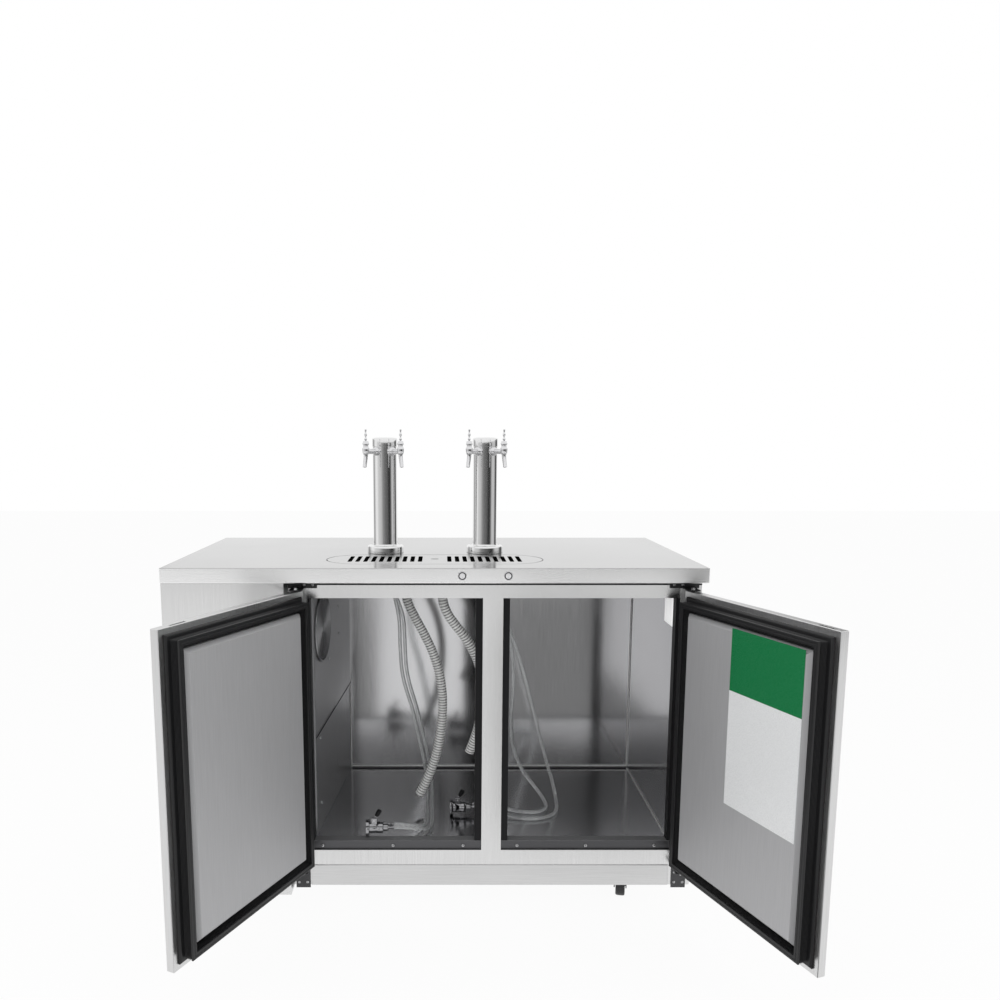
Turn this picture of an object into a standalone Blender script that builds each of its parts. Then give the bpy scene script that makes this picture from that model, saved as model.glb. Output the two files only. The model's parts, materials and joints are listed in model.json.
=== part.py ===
"""Two-door kegerator: a back-bar keg cooler on casters with two beer towers.

Units are metres. Pieces are placed with X from the cabinet's centre, Y back from the worktop's
front edge and Z up from the floor, under one empty that moves that point to the part's origin:
the middle of the cabinet's underside, where its casters are fastened.
"""

import math

import bmesh
import bpy
from mathutils import Matrix, Vector

# Clearances and cutter overrun
touch_gap = 0.0003
running_gap = 0.0003
overrun = 0.004
weld_distance = 0.00001
sharp_angle = math.radians(35)

# Worktop
worktop_width = 1.468
worktop_depth = 0.750
worktop_top = 1.026
fascia_height = 0.0415
worktop_edge = 0.0025

# Cabinet
caster_height = 0.094
cabinet_side_inset = 0.001
front_plane = 0.004
frame_plane = 0.062
frame_thickness = 0.020
cabinet_back = 0.705
machine_bay_width = 0.329
left_stile = 0.055
right_stile = 0.059
mullion_width = 0.056
mullion_shift = 0.00365
opening_bottom = 0.200
opening_top = 0.934
sheet = 0.002

# Keg space
wall_inset = 0.004
right_wall_inset = 0.002
liner_floor = 0.224
liner_ceiling = 0.950
liner_back = 0.650
breaker_depth = 0.018
breaker_margin = 0.010
breaker_front_step = 0.008
breaker_mullion_width = 0.019
breaker_right_width = 0.008

# Kick panel below the doors
kick_left_inset = 0.049
kick_right_inset = 0.062
kick_height = 0.061

# Machine bay front louvres and back vents
louvre_count = 10
louvre_pitch = 0.028
louvre_slot = 0.014
louvre_length = 0.240
louvre_bottom = 0.150
louvre_block_depth = 0.012
louvre_margin = 0.020
louvre_angle = math.radians(35)
vent_count = 6
vent_pitch = 0.040
vent_height = 0.014
vent_length = 0.230
vent_bottom = 0.180

# Evaporator on the left wall
evaporator_front = 0.110
evaporator_front_depth = 0.005
evaporator_back_depth = 0.050
evaporator_sheet = 0.0015
evaporator_seam_drop = 0.208
evaporator_seam_rise = 0.016
fan_blade_radius = 0.088
fan_tip_gap = 0.006
fan_top_margin = 0.014
fan_front_margin = 0.002
fan_hub_radius = 0.024
fan_hub_depth = 0.012
fan_blade_depth = 0.010
fan_blade_thickness = 0.0016
fan_blade_count = 5
fan_shaft_radius = 0.004
motor_radius = 0.030
motor_depth = 0.016
guard_overlap = 0.007
guard_wire = 0.0015
guard_rim_wire = 0.0032
guard_ring_count = 3
guard_hub_radius = 0.020
guard_spoke_count = 4
pocket_depth = 0.026
pocket_front = 0.119
pocket_back = 0.600
pocket_bottom = 0.300
pocket_top_inset = 0.022
coil_thickness = 0.021
coil_inset = 0.012
coil_fan_gap = 0.072
fin_count = 7
fin_slot = 0.016
fin_slot_depth = 0.009
coil_bracket_width = 0.030
coil_bracket_thickness = 0.005

# Condensing unit
compressor_radius = 0.076
compressor_height = 0.185
compressor_from_bay_centre = 0.005
compressor_caster_gap = 0.125
compressor_dome = 0.045
compressor_foot = 0.012
compressor_band = 0.004
condenser_width = 0.250
condenser_height = 0.290
condenser_thickness = 0.034
condenser_front = 0.045
condenser_bottom_gap = 0.012
condenser_fan_radius = 0.105
condenser_fan_gap = 0.020
condenser_slot_count = 5
condenser_slot = 0.022
condenser_slot_depth = 0.010
condenser_arm = 0.012

# Lamp housing
lamp_thickness = 0.008
lamp_setback = 0.001
lamp_length = 0.083
lamp_height = 0.105
lamp_round = 0.003

# Doors
door_side_inset = 0.00935
door_bottom_gap = 0.001
door_top_gap = 0.0249
door_pan_depth = 0.022
door_edge = 0.0015
pivot_inset = 0.024
pivot_depth = 0.018
door_meeting_gap = 0.006
door_lip = 0.015
gasket_band = 0.037
gasket_base_rise = 0.008
gasket_step = 0.004
gasket_wall_rise = 0.012
gasket_tip_start = 0.011
gasket_tip_width = 0.014
gasket_pleat = 0.003
gasket_inner_step = 0.008
liner_rim_rise = 0.021
liner_face_rise = 0.0315
liner_bevel = 0.010
left_open_angle = math.radians(115.2)
right_open_angle = math.radians(109.9)
grip_width = 0.034
grip_height = 0.150
grip_depth = 0.011
grip_inset = 0.018
grip_centre = 0.760

# Door hinges
pin_radius = 0.005
pin_length = 0.014
bracket_thickness = 0.0025
bracket_width = 0.036
bracket_nose = 0.012
top_flange_inner = 0.028
top_flange_outer = 0.052
top_flange_height = 0.019
top_bracket_gap = 0.0024
shelf_thickness = 0.0035
bottom_flange_inner = 0.016
bottom_flange_outer = 0.025
bottom_flange_height = 0.069

# Locks in the fascia
lock_left_offset = 0.087
lock_right_offset = 0.036
lock_face_radius = 0.01225
lock_face_depth = 0.0025
lock_barrel_radius = 0.0095
lock_barrel_length = 0.018
lock_cam_length = 0.051
lock_cam_width = 0.014
lock_cam_thickness = 0.0025
lock_cam_room = 0.004
keyway_width = 0.002
keyway_height = 0.009
keyway_depth = 0.003

# Drip tray
tray_half_length = 0.310
tray_half_width = 0.102
tray_centre_depth = 0.180
tray_ledge = 0.010
tray_depth = 0.034
tray_wall = 0.0015
grate_thickness = 0.0022
slot_count = 10
slot_pitch = 0.022
slot_first = 0.0415
slot_width = 0.012
slot_half_length = 0.0595
slot_centre_back = 0.0065
drain_slot_length = 0.017
drain_slot_width = 0.006
drain_offset = 0.022
spigot_radius = 0.0091
spigot_bore = 0.0072
spigot_length = 0.015

# Beer towers
tower_x = 0.150
tower_tray_gap = 0.160
tower_height = 0.345
column_radius = 0.0362
column_wall = 0.0030
flange_radius = 0.0545
flange_height = 0.022
flange_round = 0.005
tail_radius = 0.0297
tail_wall = 0.0030
tail_floor = 0.012
cap_height = 0.028
cap_radius = 0.0376
cap_crown = 0.003
line_hole_offset = 0.018
line_hole_spread = 0.008

# Faucets
faucet_lateral = 0.0505
faucet_forward = 0.076
shank_height = 0.304
shank_radius = 0.0078
shank_inside = 0.022
collar_radius = 0.0125
collar_length = 0.015
neck_radius = 0.0075
body_radius = 0.0100
body_below = 0.009
body_above = 0.030
spout_drop = 0.045
spout_radius = 0.0062
spout_forward = 0.007
spout_bore = 0.0035
spout_bore_depth = 0.012
socket_radius = 0.0060
socket_depth = 0.009
lever_ball_radius = 0.0055
lever_pivot_height = 0.0265
lever_length = 0.0636
lever_radius = 0.0040

# Casters
caster_side_inset = 0.176
caster_front_depth = 0.162
caster_back_inset = 0.100
caster_pad_width = 0.074
caster_pad_thickness = 0.003
stem_radius = 0.006
stem_length = 0.020
swivel_radius = 0.027
swivel_height = 0.012
wheel_radius = 0.032
wheel_width = 0.028
wheel_trail = 0.020
wheel_round = 0.004
wheel_recess = 0.002
wheel_hub_radius = 0.017
fork_leg_thickness = 0.003
fork_leg_width = 0.026
fork_gap = 0.002
axle_radius = 0.004

# Hoses, beer lines and couplers
hose_radius = 0.0143
hose_rib_height = 0.0017
hose_bore = 0.0102
rib_pitch = 0.0140
line_radius = 0.0055
line_bore = 0.0040
line_step = 0.034
coupler_flange_radius = 0.026
coupler_flange_thickness = 0.010
coupler_flange_x = -0.040
coupler_body_radius = 0.017
coupler_neck_radius = 0.011
coupler_neck_start = 0.010
coupler_neck_end = 0.024
coupler_barb_radius = 0.0048
coupler_barb_end = 0.040
coupler_port_offset = 0.020
coupler_yoke_half_width = 0.009
coupler_yoke_length = 0.016
coupler_yoke_height = 0.013
coupler_slot_half_width = 0.0045
coupler_lever_thickness = 0.008
coupler_pin_radius = 0.0025
coupler_lever_length = 0.024
coupler_lever_lean = math.radians(30)
coupler_grip_radius = 0.0070
coupler_grip_length = 0.018
coupler_one_place = (-0.160, 0.104, 0.0)
coupler_two_place = (0.085, 0.251, 0.0)

# Worked-out places
underside = caster_height
worktop_bottom = worktop_top - fascia_height
cabinet_top = worktop_bottom - touch_gap
cabinet_left = -worktop_width / 2 + cabinet_side_inset
cabinet_right = worktop_width / 2 - cabinet_side_inset
cabinet_middle_depth = (front_plane + cabinet_back) / 2
bay_right = cabinet_left + machine_bay_width
casing_left = bay_right + touch_gap
opening_left = bay_right + left_stile
opening_right = cabinet_right - right_stile
mullion_centre = (casing_left + cabinet_right) / 2 - mullion_shift
frame_back = frame_plane + frame_thickness
breaker_front = frame_back + touch_gap
breaker_back = breaker_front + breaker_depth
liner_front = breaker_back + touch_gap
liner_left = opening_left + wall_inset
liner_right = opening_right - right_wall_inset
door_width = (cabinet_right - casing_left - door_meeting_gap) / 2 - door_side_inset
lock_left_x = mullion_centre - lock_left_offset
lock_right_x = mullion_centre + lock_right_offset
tower_depth = tray_centre_depth + tower_tray_gap
caster_x = cabinet_right - caster_side_inset
door_bottom = underside + kick_height + door_bottom_gap + touch_gap
door_top = worktop_bottom - door_top_gap
lock_height = worktop_bottom + fascia_height / 2
fan_hole_radius = fan_blade_radius + fan_tip_gap
guard_radius = fan_hole_radius + guard_overlap
pocket_top = liner_ceiling - pocket_top_inset
fan_height = pocket_top - fan_top_margin - fan_hole_radius
fan_depth = pocket_front + fan_front_margin + fan_hole_radius
coil_top = fan_height - fan_blade_radius - coil_fan_gap
evaporator_seam = fan_height - fan_hole_radius - evaporator_seam_drop
caster_back_depth = cabinet_back - caster_back_inset
compressor_depth = caster_back_depth - compressor_caster_gap
lamp_front = liner_front + lamp_setback
left_pivot_x = mullion_centre - door_meeting_gap / 2 - door_width + pivot_inset
right_pivot_x = mullion_centre + door_meeting_gap / 2 + door_width - pivot_inset
free_edge = door_width - pivot_inset
bay_middle = (cabinet_left + bay_right) / 2

# Sides of round pieces and steps along a curve
round_sides = 18
middle_sides = 14
small_sides = 12
few_sides = 8
end_steps = 6
slot_steps = 2
curve_fineness = 24
homogeneous = 1.0

# Turned outlines, as shares of the piece's radius and of its height or length
lever_outline_shares = (
    (0.50, 1.00), (0.68, 0.93), (0.50, 0.84), (0.86, 0.66), (0.92, 0.56), (0.52, 0.44), (0.98, 0.26)
)
lever_neck_share = 0.60
faucet_body_shares = ((0.82, 1.00), (0.95, 0.72), (0.72, 0.52), (1.00, 0.30))
faucet_foot_share = 0.78
collar_cone_share = 0.55
collar_start_share = 0.85
spout_bend_shares = ((0.0, 0.10), (0.0, 0.26), (0.45, 0.55), (1.0, 1.0))
spout_taper_shares = (1.0, 1.0, 0.92, 0.86)
cap_crown_shares = ((0.55, 0.25), (0.90, 0.70), (1.00, 1.60))
lock_face_shares = ((0.90, 1.0), (1.00, 0.60))
compressor_band_share = 0.45
compressor_base_share = 0.72
compressor_foot_reach_share = 1.15
compressor_foot_place_share = 0.62
condenser_foot_place_share = 0.80
guard_spoke_start_share = 0.60
guard_spoke_rise_share = 0.40
guard_spoke_share = 1.10
blade_root_share = 0.20
blade_tip_share = 0.45
blade_tip_twist_share = 0.55
fan_bore_share = 0.75
gasket_height_shares = (1 / 3, 1 / 2, 2 / 3)
gasket_fold_shares = (-1 / 3, 1 / 2, -1 / 3)
swivel_outline_shares = ((0.95, 0.0), (1.00, 0.5), (0.80, 1.0))
fork_top_share = 0.60
fork_front_share = 0.60
fork_back_share = 0.55
fork_tip_share = 0.42
axle_reach_share = 0.60
wheel_dish_share = 0.84
probe_share = 0.70
elbow_share = 1.30
yoke_root_share = 0.60
lever_arm_shares = (0.70, 0.80)
grip_taper_share = 0.80

assembly = bpy.data.collections.new("kegerator")
cutters = bpy.data.collections.new("cutters")


def clear_scene():
    """Remove whatever the scene holds and link the two collections."""
    for old in list(bpy.data.objects):
        bpy.data.objects.remove(old, do_unlink=True)
    bpy.context.scene.collection.children.link(assembly)
    bpy.context.scene.collection.children.link(cutters)
    cutters.hide_render = True


def finish_material(name, color, roughness, metallic, alpha=1.0):
    made = bpy.data.materials.new(name)
    made.use_nodes = True
    shader = made.node_tree.nodes["Principled BSDF"]
    shader.inputs["Base Color"].default_value = (*color, 1.0)
    shader.inputs["Roughness"].default_value = roughness
    shader.inputs["Metallic"].default_value = metallic
    shader.inputs["Alpha"].default_value = alpha
    return made


clear_scene()
brushed_steel = finish_material("brushed_steel", (0.62, 0.62, 0.62), 0.34, 1.0)
liner_steel = finish_material("liner_steel", (0.36, 0.36, 0.36), 0.30, 1.0)
chrome = finish_material("chrome", (0.80, 0.80, 0.80), 0.12, 1.0)
black_plastic = finish_material("black_plastic", (0.020, 0.020, 0.022), 0.45, 0.0)
gasket_rubber = finish_material("gasket_rubber", (0.018, 0.018, 0.018), 0.60, 0.0)
black_metal = finish_material("black_metal", (0.025, 0.025, 0.027), 0.40, 0.6)
hose_plastic = finish_material("hose_plastic", (0.78, 0.78, 0.76), 0.35, 0.0)
clear_vinyl = finish_material("clear_vinyl", (0.86, 0.88, 0.88), 0.15, 0.0, 0.45)
white_plastic = finish_material("white_plastic", (0.85, 0.85, 0.84), 0.35, 0.0)
coil_metal = finish_material("coil_metal", (0.55, 0.56, 0.58), 0.40, 1.0)
wheel_grey = finish_material("wheel_grey", (0.10, 0.10, 0.105), 0.50, 0.0)


def new_object(name, mesh, material=None, place=(0, 0, 0), parent=None):
    made = bpy.data.objects.new(name, mesh)
    made.location = place
    made.parent = parent
    assembly.objects.link(made)
    if material:
        mesh.materials.append(material)
    return made


def empty(name, place, turn=0.0, parent=None):
    made = bpy.data.objects.new(name, None)
    made.location = place
    made.rotation_euler = (0, 0, turn)
    made.parent = parent
    assembly.objects.link(made)
    return made


def box(name, low, high, material=None, parent=None, edge=0.0, segments=1):
    """A block between two corners, its edges rounded where an edge radius is given."""
    low, high = Vector(low), Vector(high)
    centre = (low + high) / 2
    size = high - low
    mesh = bpy.data.meshes.new(name)
    shape = bmesh.new()
    bmesh.ops.create_cube(shape, size=1, matrix=Matrix.Diagonal((*map(abs, size), 1)))
    shape.to_mesh(mesh)
    shape.free()
    made = new_object(name, mesh, material, centre, parent)
    if edge:
        round_edges(made, edge, segments)
    return made


def bore_radius(radius, gap, sides):
    """The radius of a many-sided bore whose flats clear a round piece by the gap."""
    return (radius + gap) / math.cos(math.pi / sides)


def round_edges(made, width, segments=1):
    rounding = made.modifiers.new("rounding", "BEVEL")
    rounding.width = width
    rounding.segments = segments
    rounding.limit_method = "ANGLE"
    return rounding


def drum(
    name, radius, length, place, axis="Z", material=None, parent=None, sides=round_sides, end_radius=None
):
    """A cylinder or cone centred on its place, along the axis named."""
    turns = {
        "Z": Matrix(),
        "X": Matrix.Rotation(math.pi / 2, 4, "Y"),
        "Y": Matrix.Rotation(math.pi / 2, 4, "X"),
    }
    far = radius if end_radius is None else end_radius
    mesh = bpy.data.meshes.new(name)
    shape = bmesh.new()
    bmesh.ops.create_cone(
        shape, cap_ends=True, segments=sides, radius1=radius, radius2=far, depth=length, matrix=turns[axis]
    )
    shape.to_mesh(mesh)
    shape.free()
    smooth(mesh)
    return new_object(name, mesh, material, place, parent)


def smooth(mesh):
    mesh.shade_smooth()
    mesh.set_sharp_from_angle(angle=sharp_angle)


def turned(
    name, profile, material=None, place=(0, 0, 0), parent=None, sides=round_sides, axis="Z", start=0.0
):
    """A profile of (radius, height) points, top to bottom on the outside, turned about an axis."""
    mesh = bpy.data.meshes.new(name)
    shape = bmesh.new()
    corners = []
    for radius, height in profile:
        corners.append(shape.verts.new((radius * math.cos(start), radius * math.sin(start), height)))
    for first, second in zip(corners, corners[1:]):
        shape.edges.new((first, second))
    if profile[0][0] > 0:
        shape.edges.new((corners[-1], corners[0]))
    shape.to_mesh(mesh)
    shape.free()
    made = new_object(name, mesh, material, place, parent)
    screw = made.modifiers.new("turning", "SCREW")
    screw.steps = sides
    screw.render_steps = sides
    screw.use_merge_vertices = True
    screw.merge_threshold = weld_distance
    screw.use_smooth_shade = True
    if axis == "X":
        made.rotation_euler = (0, math.pi / 2, 0)
    if axis == "Y":
        made.rotation_euler = (math.pi / 2, 0, 0)
    return made


def combine(made, other, operation, solver):
    """Cut another object from this one, or fuse it on; the other becomes a hidden helper."""
    step = made.modifiers.new(other.name, "BOOLEAN")
    step.operation = operation
    step.object = other
    step.solver = solver
    for holder in list(other.users_collection):
        holder.objects.unlink(other)
    cutters.objects.link(other)
    other.hide_render = True
    other.display_type = "WIRE"
    return made


def cut(made, *others, solver="EXACT"):
    for other in others:
        combine(made, other, "DIFFERENCE", solver)
    return made


def fuse(made, *others, solver="EXACT"):
    for other in others:
        combine(made, other, "UNION", solver)
    return made


def cut_box(made, low, high, parent=None):
    return cut(made, box(made.name + "_cutter", low, high, parent=parent))


def as_mesh(curve_object):
    """The curve's evaluated shape as a mesh object in its place, its loose caps welded on."""
    bpy.context.view_layer.update()
    graph = bpy.context.evaluated_depsgraph_get()
    mesh = bpy.data.meshes.new_from_object(curve_object.evaluated_get(graph))
    shape = bmesh.new()
    shape.from_mesh(mesh)
    bmesh.ops.remove_doubles(shape, verts=shape.verts, dist=weld_distance / 10)
    bmesh.ops.recalc_face_normals(shape, faces=shape.faces)
    shape.to_mesh(mesh)
    shape.free()
    smooth(mesh)
    made = bpy.data.objects.new(curve_object.name + "_mesh", mesh)
    made.location = curve_object.location
    made.rotation_euler = curve_object.rotation_euler
    made.parent = curve_object.parent
    for holder in curve_object.users_collection:
        holder.objects.link(made)
    name = curve_object.name
    bpy.data.objects.remove(curve_object)
    made.name = name
    return made


def tube(name, points, radius, material=None, parent=None, resolution=2, shares=None, closed=False):
    """A round tube along points; shares give each point's part of the radius."""
    curve = bpy.data.curves.new(name, "CURVE")
    curve.dimensions = "3D"
    curve.bevel_depth = radius
    curve.bevel_resolution = resolution
    curve.use_fill_caps = not closed
    spline = curve.splines.new("POLY")
    spline.points.add(len(points) - 1)
    spline.use_cyclic_u = closed
    for index, point in enumerate(points):
        spline.points[index].co = (*point, homogeneous)
        spline.points[index].radius = shares[index] if shares else 1
    if material:
        curve.materials.append(material)
    made = bpy.data.objects.new(name, curve)
    made.parent = parent
    assembly.objects.link(made)
    return made


def plate(name, outlines, thickness, material=None, place=(0, 0, 0), parent=None, turn=(0, 0, 0)):
    """A flat plate from closed outlines, the inner ones being holes, centred on its plane."""
    curve = bpy.data.curves.new(name, "CURVE")
    curve.dimensions = "2D"
    curve.fill_mode = "BOTH"
    curve.extrude = thickness / 2
    for outline in outlines:
        spline = curve.splines.new("POLY")
        spline.points.add(len(outline) - 1)
        spline.use_cyclic_u = True
        for index, point in enumerate(outline):
            spline.points[index].co = (*point, 0, homogeneous)
    if material:
        curve.materials.append(material)
    made = bpy.data.objects.new(name, curve)
    made.location = place
    made.rotation_euler = turn
    made.parent = parent
    assembly.objects.link(made)
    return as_mesh(made)


def arc(centre, radius, start, end, count):
    """Points on an arc in the plane, its ends included; the angles are in radians."""
    found = []
    for index in range(count + 1):
        angle = start + (end - start) * index / count
        found.append((centre[0] + radius * math.cos(angle), centre[1] + radius * math.sin(angle)))
    return found


def stadium(half_length, half_width, count, centre=(0, 0)):
    """A slot outline with round ends, its long side along X."""
    reach = half_length - half_width
    right = arc((centre[0] + reach, centre[1]), half_width, -math.pi / 2, math.pi / 2, count)
    left = arc((centre[0] - reach, centre[1]), half_width, math.pi / 2, 3 * math.pi / 2, count)
    return right + left


def loft(name, rings, material=None, place=(0, 0, 0), parent=None, closed=False):
    """A skin over rings of equal point counts, capped unless the rings themselves close up."""
    mesh = bpy.data.meshes.new(name)
    shape = bmesh.new()
    made_rings = [[shape.verts.new(point) for point in ring] for ring in rings]
    pairs = list(zip(made_rings, made_rings[1:]))
    if closed:
        pairs.append((made_rings[-1], made_rings[0]))
    for lower, upper in pairs:
        count = len(lower)
        for index in range(count):
            after = (index + 1) % count
            shape.faces.new((lower[index], lower[after], upper[after], upper[index]))
    if not closed:
        shape.faces.new(made_rings[0])
        shape.faces.new(made_rings[-1])
    bmesh.ops.recalc_face_normals(shape, faces=shape.faces)
    shape.to_mesh(mesh)
    shape.free()
    return new_object(name, mesh, material, place, parent)


def make_worktop():
    """The folded steel worktop with its fascia, filled, with the tray well, tower holes and lock pockets."""
    half = worktop_width / 2
    low = (-half, 0, worktop_bottom)
    high = (half, worktop_depth, worktop_top)
    top = box("worktop", low, high, brushed_steel, edge=worktop_edge)
    ledge = plate(
        "tray_ledge_cutter",
        [stadium(tray_half_length, tray_half_width, end_steps)],
        2 * (grate_thickness + tray_wall + 2 * touch_gap),
        place=(0, tray_centre_depth, worktop_top),
    )
    well = plate(
        "tray_well_cutter",
        [stadium(tray_half_length - tray_ledge, tray_half_width - tray_ledge, end_steps)],
        2 * fascia_height + overrun,
        place=(0, tray_centre_depth, worktop_top),
    )
    cut(top, ledge, well)
    cut_tower_holes(top, worktop_top, 2 * fascia_height + overrun)
    bore = bore_radius(lock_barrel_radius, running_gap, round_sides)
    pocket_side = lock_barrel_radius + lock_cam_room
    for lock_x in (lock_left_x, lock_right_x):
        cut(top, drum("lock_bore_cutter", bore, 2 * lock_barrel_length, (lock_x, 0, lock_height), "Y"))
        low = (lock_x - pocket_side, lock_barrel_length - lock_cam_room, worktop_bottom - overrun)
        high = (
            lock_x + lock_cam_length + lock_cam_room,
            lock_barrel_length + lock_cam_thickness + lock_cam_room,
            lock_height + lock_cam_width / 2 + lock_cam_room,
        )
        cut_box(top, low, high)
    return top


def cut_tower_holes(made, height, length):
    """Cut the holes of the two tower tails through a wall, each a gap wider than the tail."""
    radius = bore_radius(tail_radius, touch_gap, round_sides)
    for side in (-1, 1):
        place = (side * tower_x, tower_depth, height)
        cut(made, drum("tower_hole_cutter", radius, length, place))


def cut_drain_hole(made, height, length):
    """Cut the drain pipe's hole through a wall, a gap wider than the pipe."""
    radius = bore_radius(spigot_radius, touch_gap, small_sides)
    place = (drain_offset, tray_centre_depth, height)
    cut(made, drum("drain_hole_cutter", radius, length, place, sides=small_sides))


def cavity_box(grow, front, back_grow):
    """The keg space's corners, grown outwards by a wall and open to the front."""
    low = (liner_left - grow, front, liner_floor - grow)
    high = (liner_right + grow, liner_back + back_grow, liner_ceiling + grow)
    return low, high


def evaporator_pocket():
    """The space let into the left wall for the evaporator, reaching out into the keg space."""
    low = (liner_left - pocket_depth, pocket_front, pocket_bottom)
    high = (liner_left + overrun, pocket_back, pocket_top)
    return low, high


def make_casing():
    """The foamed outer casing of the cold section, open to the front, with its caster pads."""
    low = (casing_left, breaker_front, underside)
    high = (cabinet_right, cabinet_back, cabinet_top)
    casing = box("insulated_casing", low, high, brushed_steel)
    wall = sheet + touch_gap
    low, high = cavity_box(wall, breaker_front - overrun, wall)
    cut_box(casing, low, high)
    room = breaker_margin + touch_gap
    low = (opening_left - room, breaker_front - overrun, opening_bottom - room)
    high = (opening_right + room, liner_front, liner_ceiling + room)
    cut_box(casing, low, high)
    low, high = evaporator_pocket()
    cut_box(casing, low, high)
    roof_cut = 2 * (cabinet_top - liner_ceiling) + overrun
    cut_tower_holes(casing, cabinet_top, roof_cut)
    cut_drain_hole(casing, cabinet_top, roof_cut)
    for caster_place in caster_places():
        if caster_place[0] > casing_left:
            fuse(casing, caster_pad(caster_place))
            cut(casing, caster_bore(caster_place))
    return casing


def make_liner():
    """The stainless lining of the keg space with the spigot that feeds the air hose."""
    low, high = cavity_box(sheet, liner_front, sheet)
    liner = box("inner_liner", low, high, liner_steel)
    low, high = cavity_box(0, liner_front - overrun, 0)
    cut_box(liner, low, high)
    low, high = evaporator_pocket()
    cut_box(liner, low, (liner_left + sheet, high[1], high[2]))
    ceiling_cut = 2 * sheet + overrun
    cut_tower_holes(liner, liner_ceiling, ceiling_cut)
    cut_drain_hole(liner, liner_ceiling, ceiling_cut)
    air_x, air_y = air_hose_route[0][:2]
    pipe_place = (air_x, air_y, liner_ceiling + sheet / 2 - spigot_length / 2)
    fuse(liner, drum("air_spigot", spigot_radius, spigot_length + sheet, pipe_place, sides=small_sides))
    bore_place = (air_x, air_y, liner_ceiling)
    cut(liner, drum("air_spigot_bore", spigot_bore, 4 * spigot_length, bore_place, sides=small_sides))
    return liner


def make_face_frame():
    """The front frame: stiles, rails and the mullion between the doors, welded as one."""
    frame = box(
        "face_frame",
        (casing_left, frame_plane, underside),
        (cabinet_right, frame_back, cabinet_top),
        brushed_steel,
        edge=sheet / 2,
    )
    half = mullion_width / 2
    for left, right in ((opening_left, mullion_centre - half), (mullion_centre + half, opening_right)):
        low = (left, frame_plane - overrun, opening_bottom)
        cut_box(frame, low, (right, frame_back + overrun, opening_top))
    return frame


def make_breaker_frame():
    """The surround between the steel frame and the lining, with a window for each door."""
    breaker = box(
        "breaker_frame",
        (opening_left - breaker_margin, breaker_front, opening_bottom - breaker_margin),
        (opening_right + breaker_margin, breaker_back, liner_ceiling + breaker_margin),
        black_plastic,
    )
    half = mullion_width / 2
    mullion_left = mullion_centre - half
    mullion_right = mullion_centre + half
    window_middle_left = mullion_left - breaker_mullion_width
    window_middle_right = mullion_right + breaker_mullion_width
    sides = (
        (opening_left, mullion_left, liner_left, window_middle_left),
        (mullion_right, opening_right, window_middle_right, opening_right - breaker_right_width),
    )
    for left, right, window_left, window_right in sides:
        rim = box(
            "breaker_rim",
            (left + touch_gap, frame_plane + breaker_front_step, opening_bottom + touch_gap),
            (right - touch_gap, breaker_back - breaker_depth / 2, opening_top - touch_gap),
        )
        fuse(breaker, rim)
        window = box(
            "breaker_window",
            (window_left, frame_plane - overrun, liner_floor),
            (window_right, breaker_back + overrun, opening_top),
        )
        cut(breaker, window)
    return breaker


def make_kick_panel():
    """The steel plate below the doors, a little proud of the frame."""
    return box(
        "kick_panel",
        (casing_left + kick_left_inset, frame_plane - sheet - touch_gap, underside),
        (cabinet_right - kick_right_inset, frame_plane - touch_gap, underside + kick_height),
        brushed_steel,
        edge=sheet / 4,
    )


def make_machine_housing():
    """The sheet steel box round the condensing unit, open to its front panel and vented behind."""
    front = front_plane + sheet + touch_gap
    right = bay_right - touch_gap
    bay = box(
        "machine_housing",
        (cabinet_left, front, underside),
        (right, cabinet_back, cabinet_top),
        brushed_steel,
    )
    cut_box(
        bay,
        (cabinet_left + sheet, front - overrun, underside + sheet),
        (right - sheet, cabinet_back - sheet, cabinet_top - sheet),
    )
    for index in range(vent_count):
        low = vent_bottom + index * vent_pitch
        cut_box(
            bay,
            (bay_middle - vent_length / 2, cabinet_back - sheet - overrun, low),
            (bay_middle + vent_length / 2, cabinet_back + overrun, low + vent_height),
        )
    boss_radius = stem_radius + 2 * sheet
    for caster_place in caster_places():
        if caster_place[0] < casing_left:
            boss_centre = (caster_place[0], caster_place[1], underside + stem_length / 2 + sheet / 2)
            boss = drum("caster_boss", boss_radius, stem_length, boss_centre, sides=small_sides)
            fuse(bay, boss, caster_pad(caster_place))
            cut(bay, caster_bore(caster_place))
    return bay


def make_machine_front_panel():
    """The front panel of the machine bay, folded at its edges, with louvres in its lower part."""
    panel = box(
        "machine_front_panel",
        (cabinet_left, front_plane, underside),
        (bay_right, front_plane + sheet, cabinet_top),
        brushed_steel,
        edge=sheet / 4,
    )
    stack = louvre_count * louvre_pitch
    block_half = louvre_length / 2 + louvre_margin
    back = front_plane + louvre_block_depth
    block = box(
        "louvre_block",
        (bay_middle - block_half, front_plane + sheet / 2, louvre_bottom - louvre_margin),
        (bay_middle + block_half, back, louvre_bottom + stack + louvre_margin),
    )
    fuse(panel, block)
    for index in range(louvre_count):
        height = louvre_bottom + louvre_pitch / 2 + index * louvre_pitch
        slot = box(
            "louvre_slot",
            (-louvre_length / 2, -2 * louvre_block_depth, -louvre_slot / 2),
            (louvre_length / 2, 2 * louvre_block_depth, louvre_slot / 2),
        )
        slot.location = (bay_middle, front_plane + louvre_block_depth / 2, height)
        slot.rotation_euler = (louvre_angle, 0, 0)
        cut(panel, slot)
    return panel


def evaporator_face_x(depth):
    """X of the evaporator cover's face at a depth in the keg space."""
    share = (depth - evaporator_front) / (liner_back - evaporator_front)
    return liner_left + evaporator_front_depth + share * (evaporator_back_depth - evaporator_front_depth)


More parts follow.
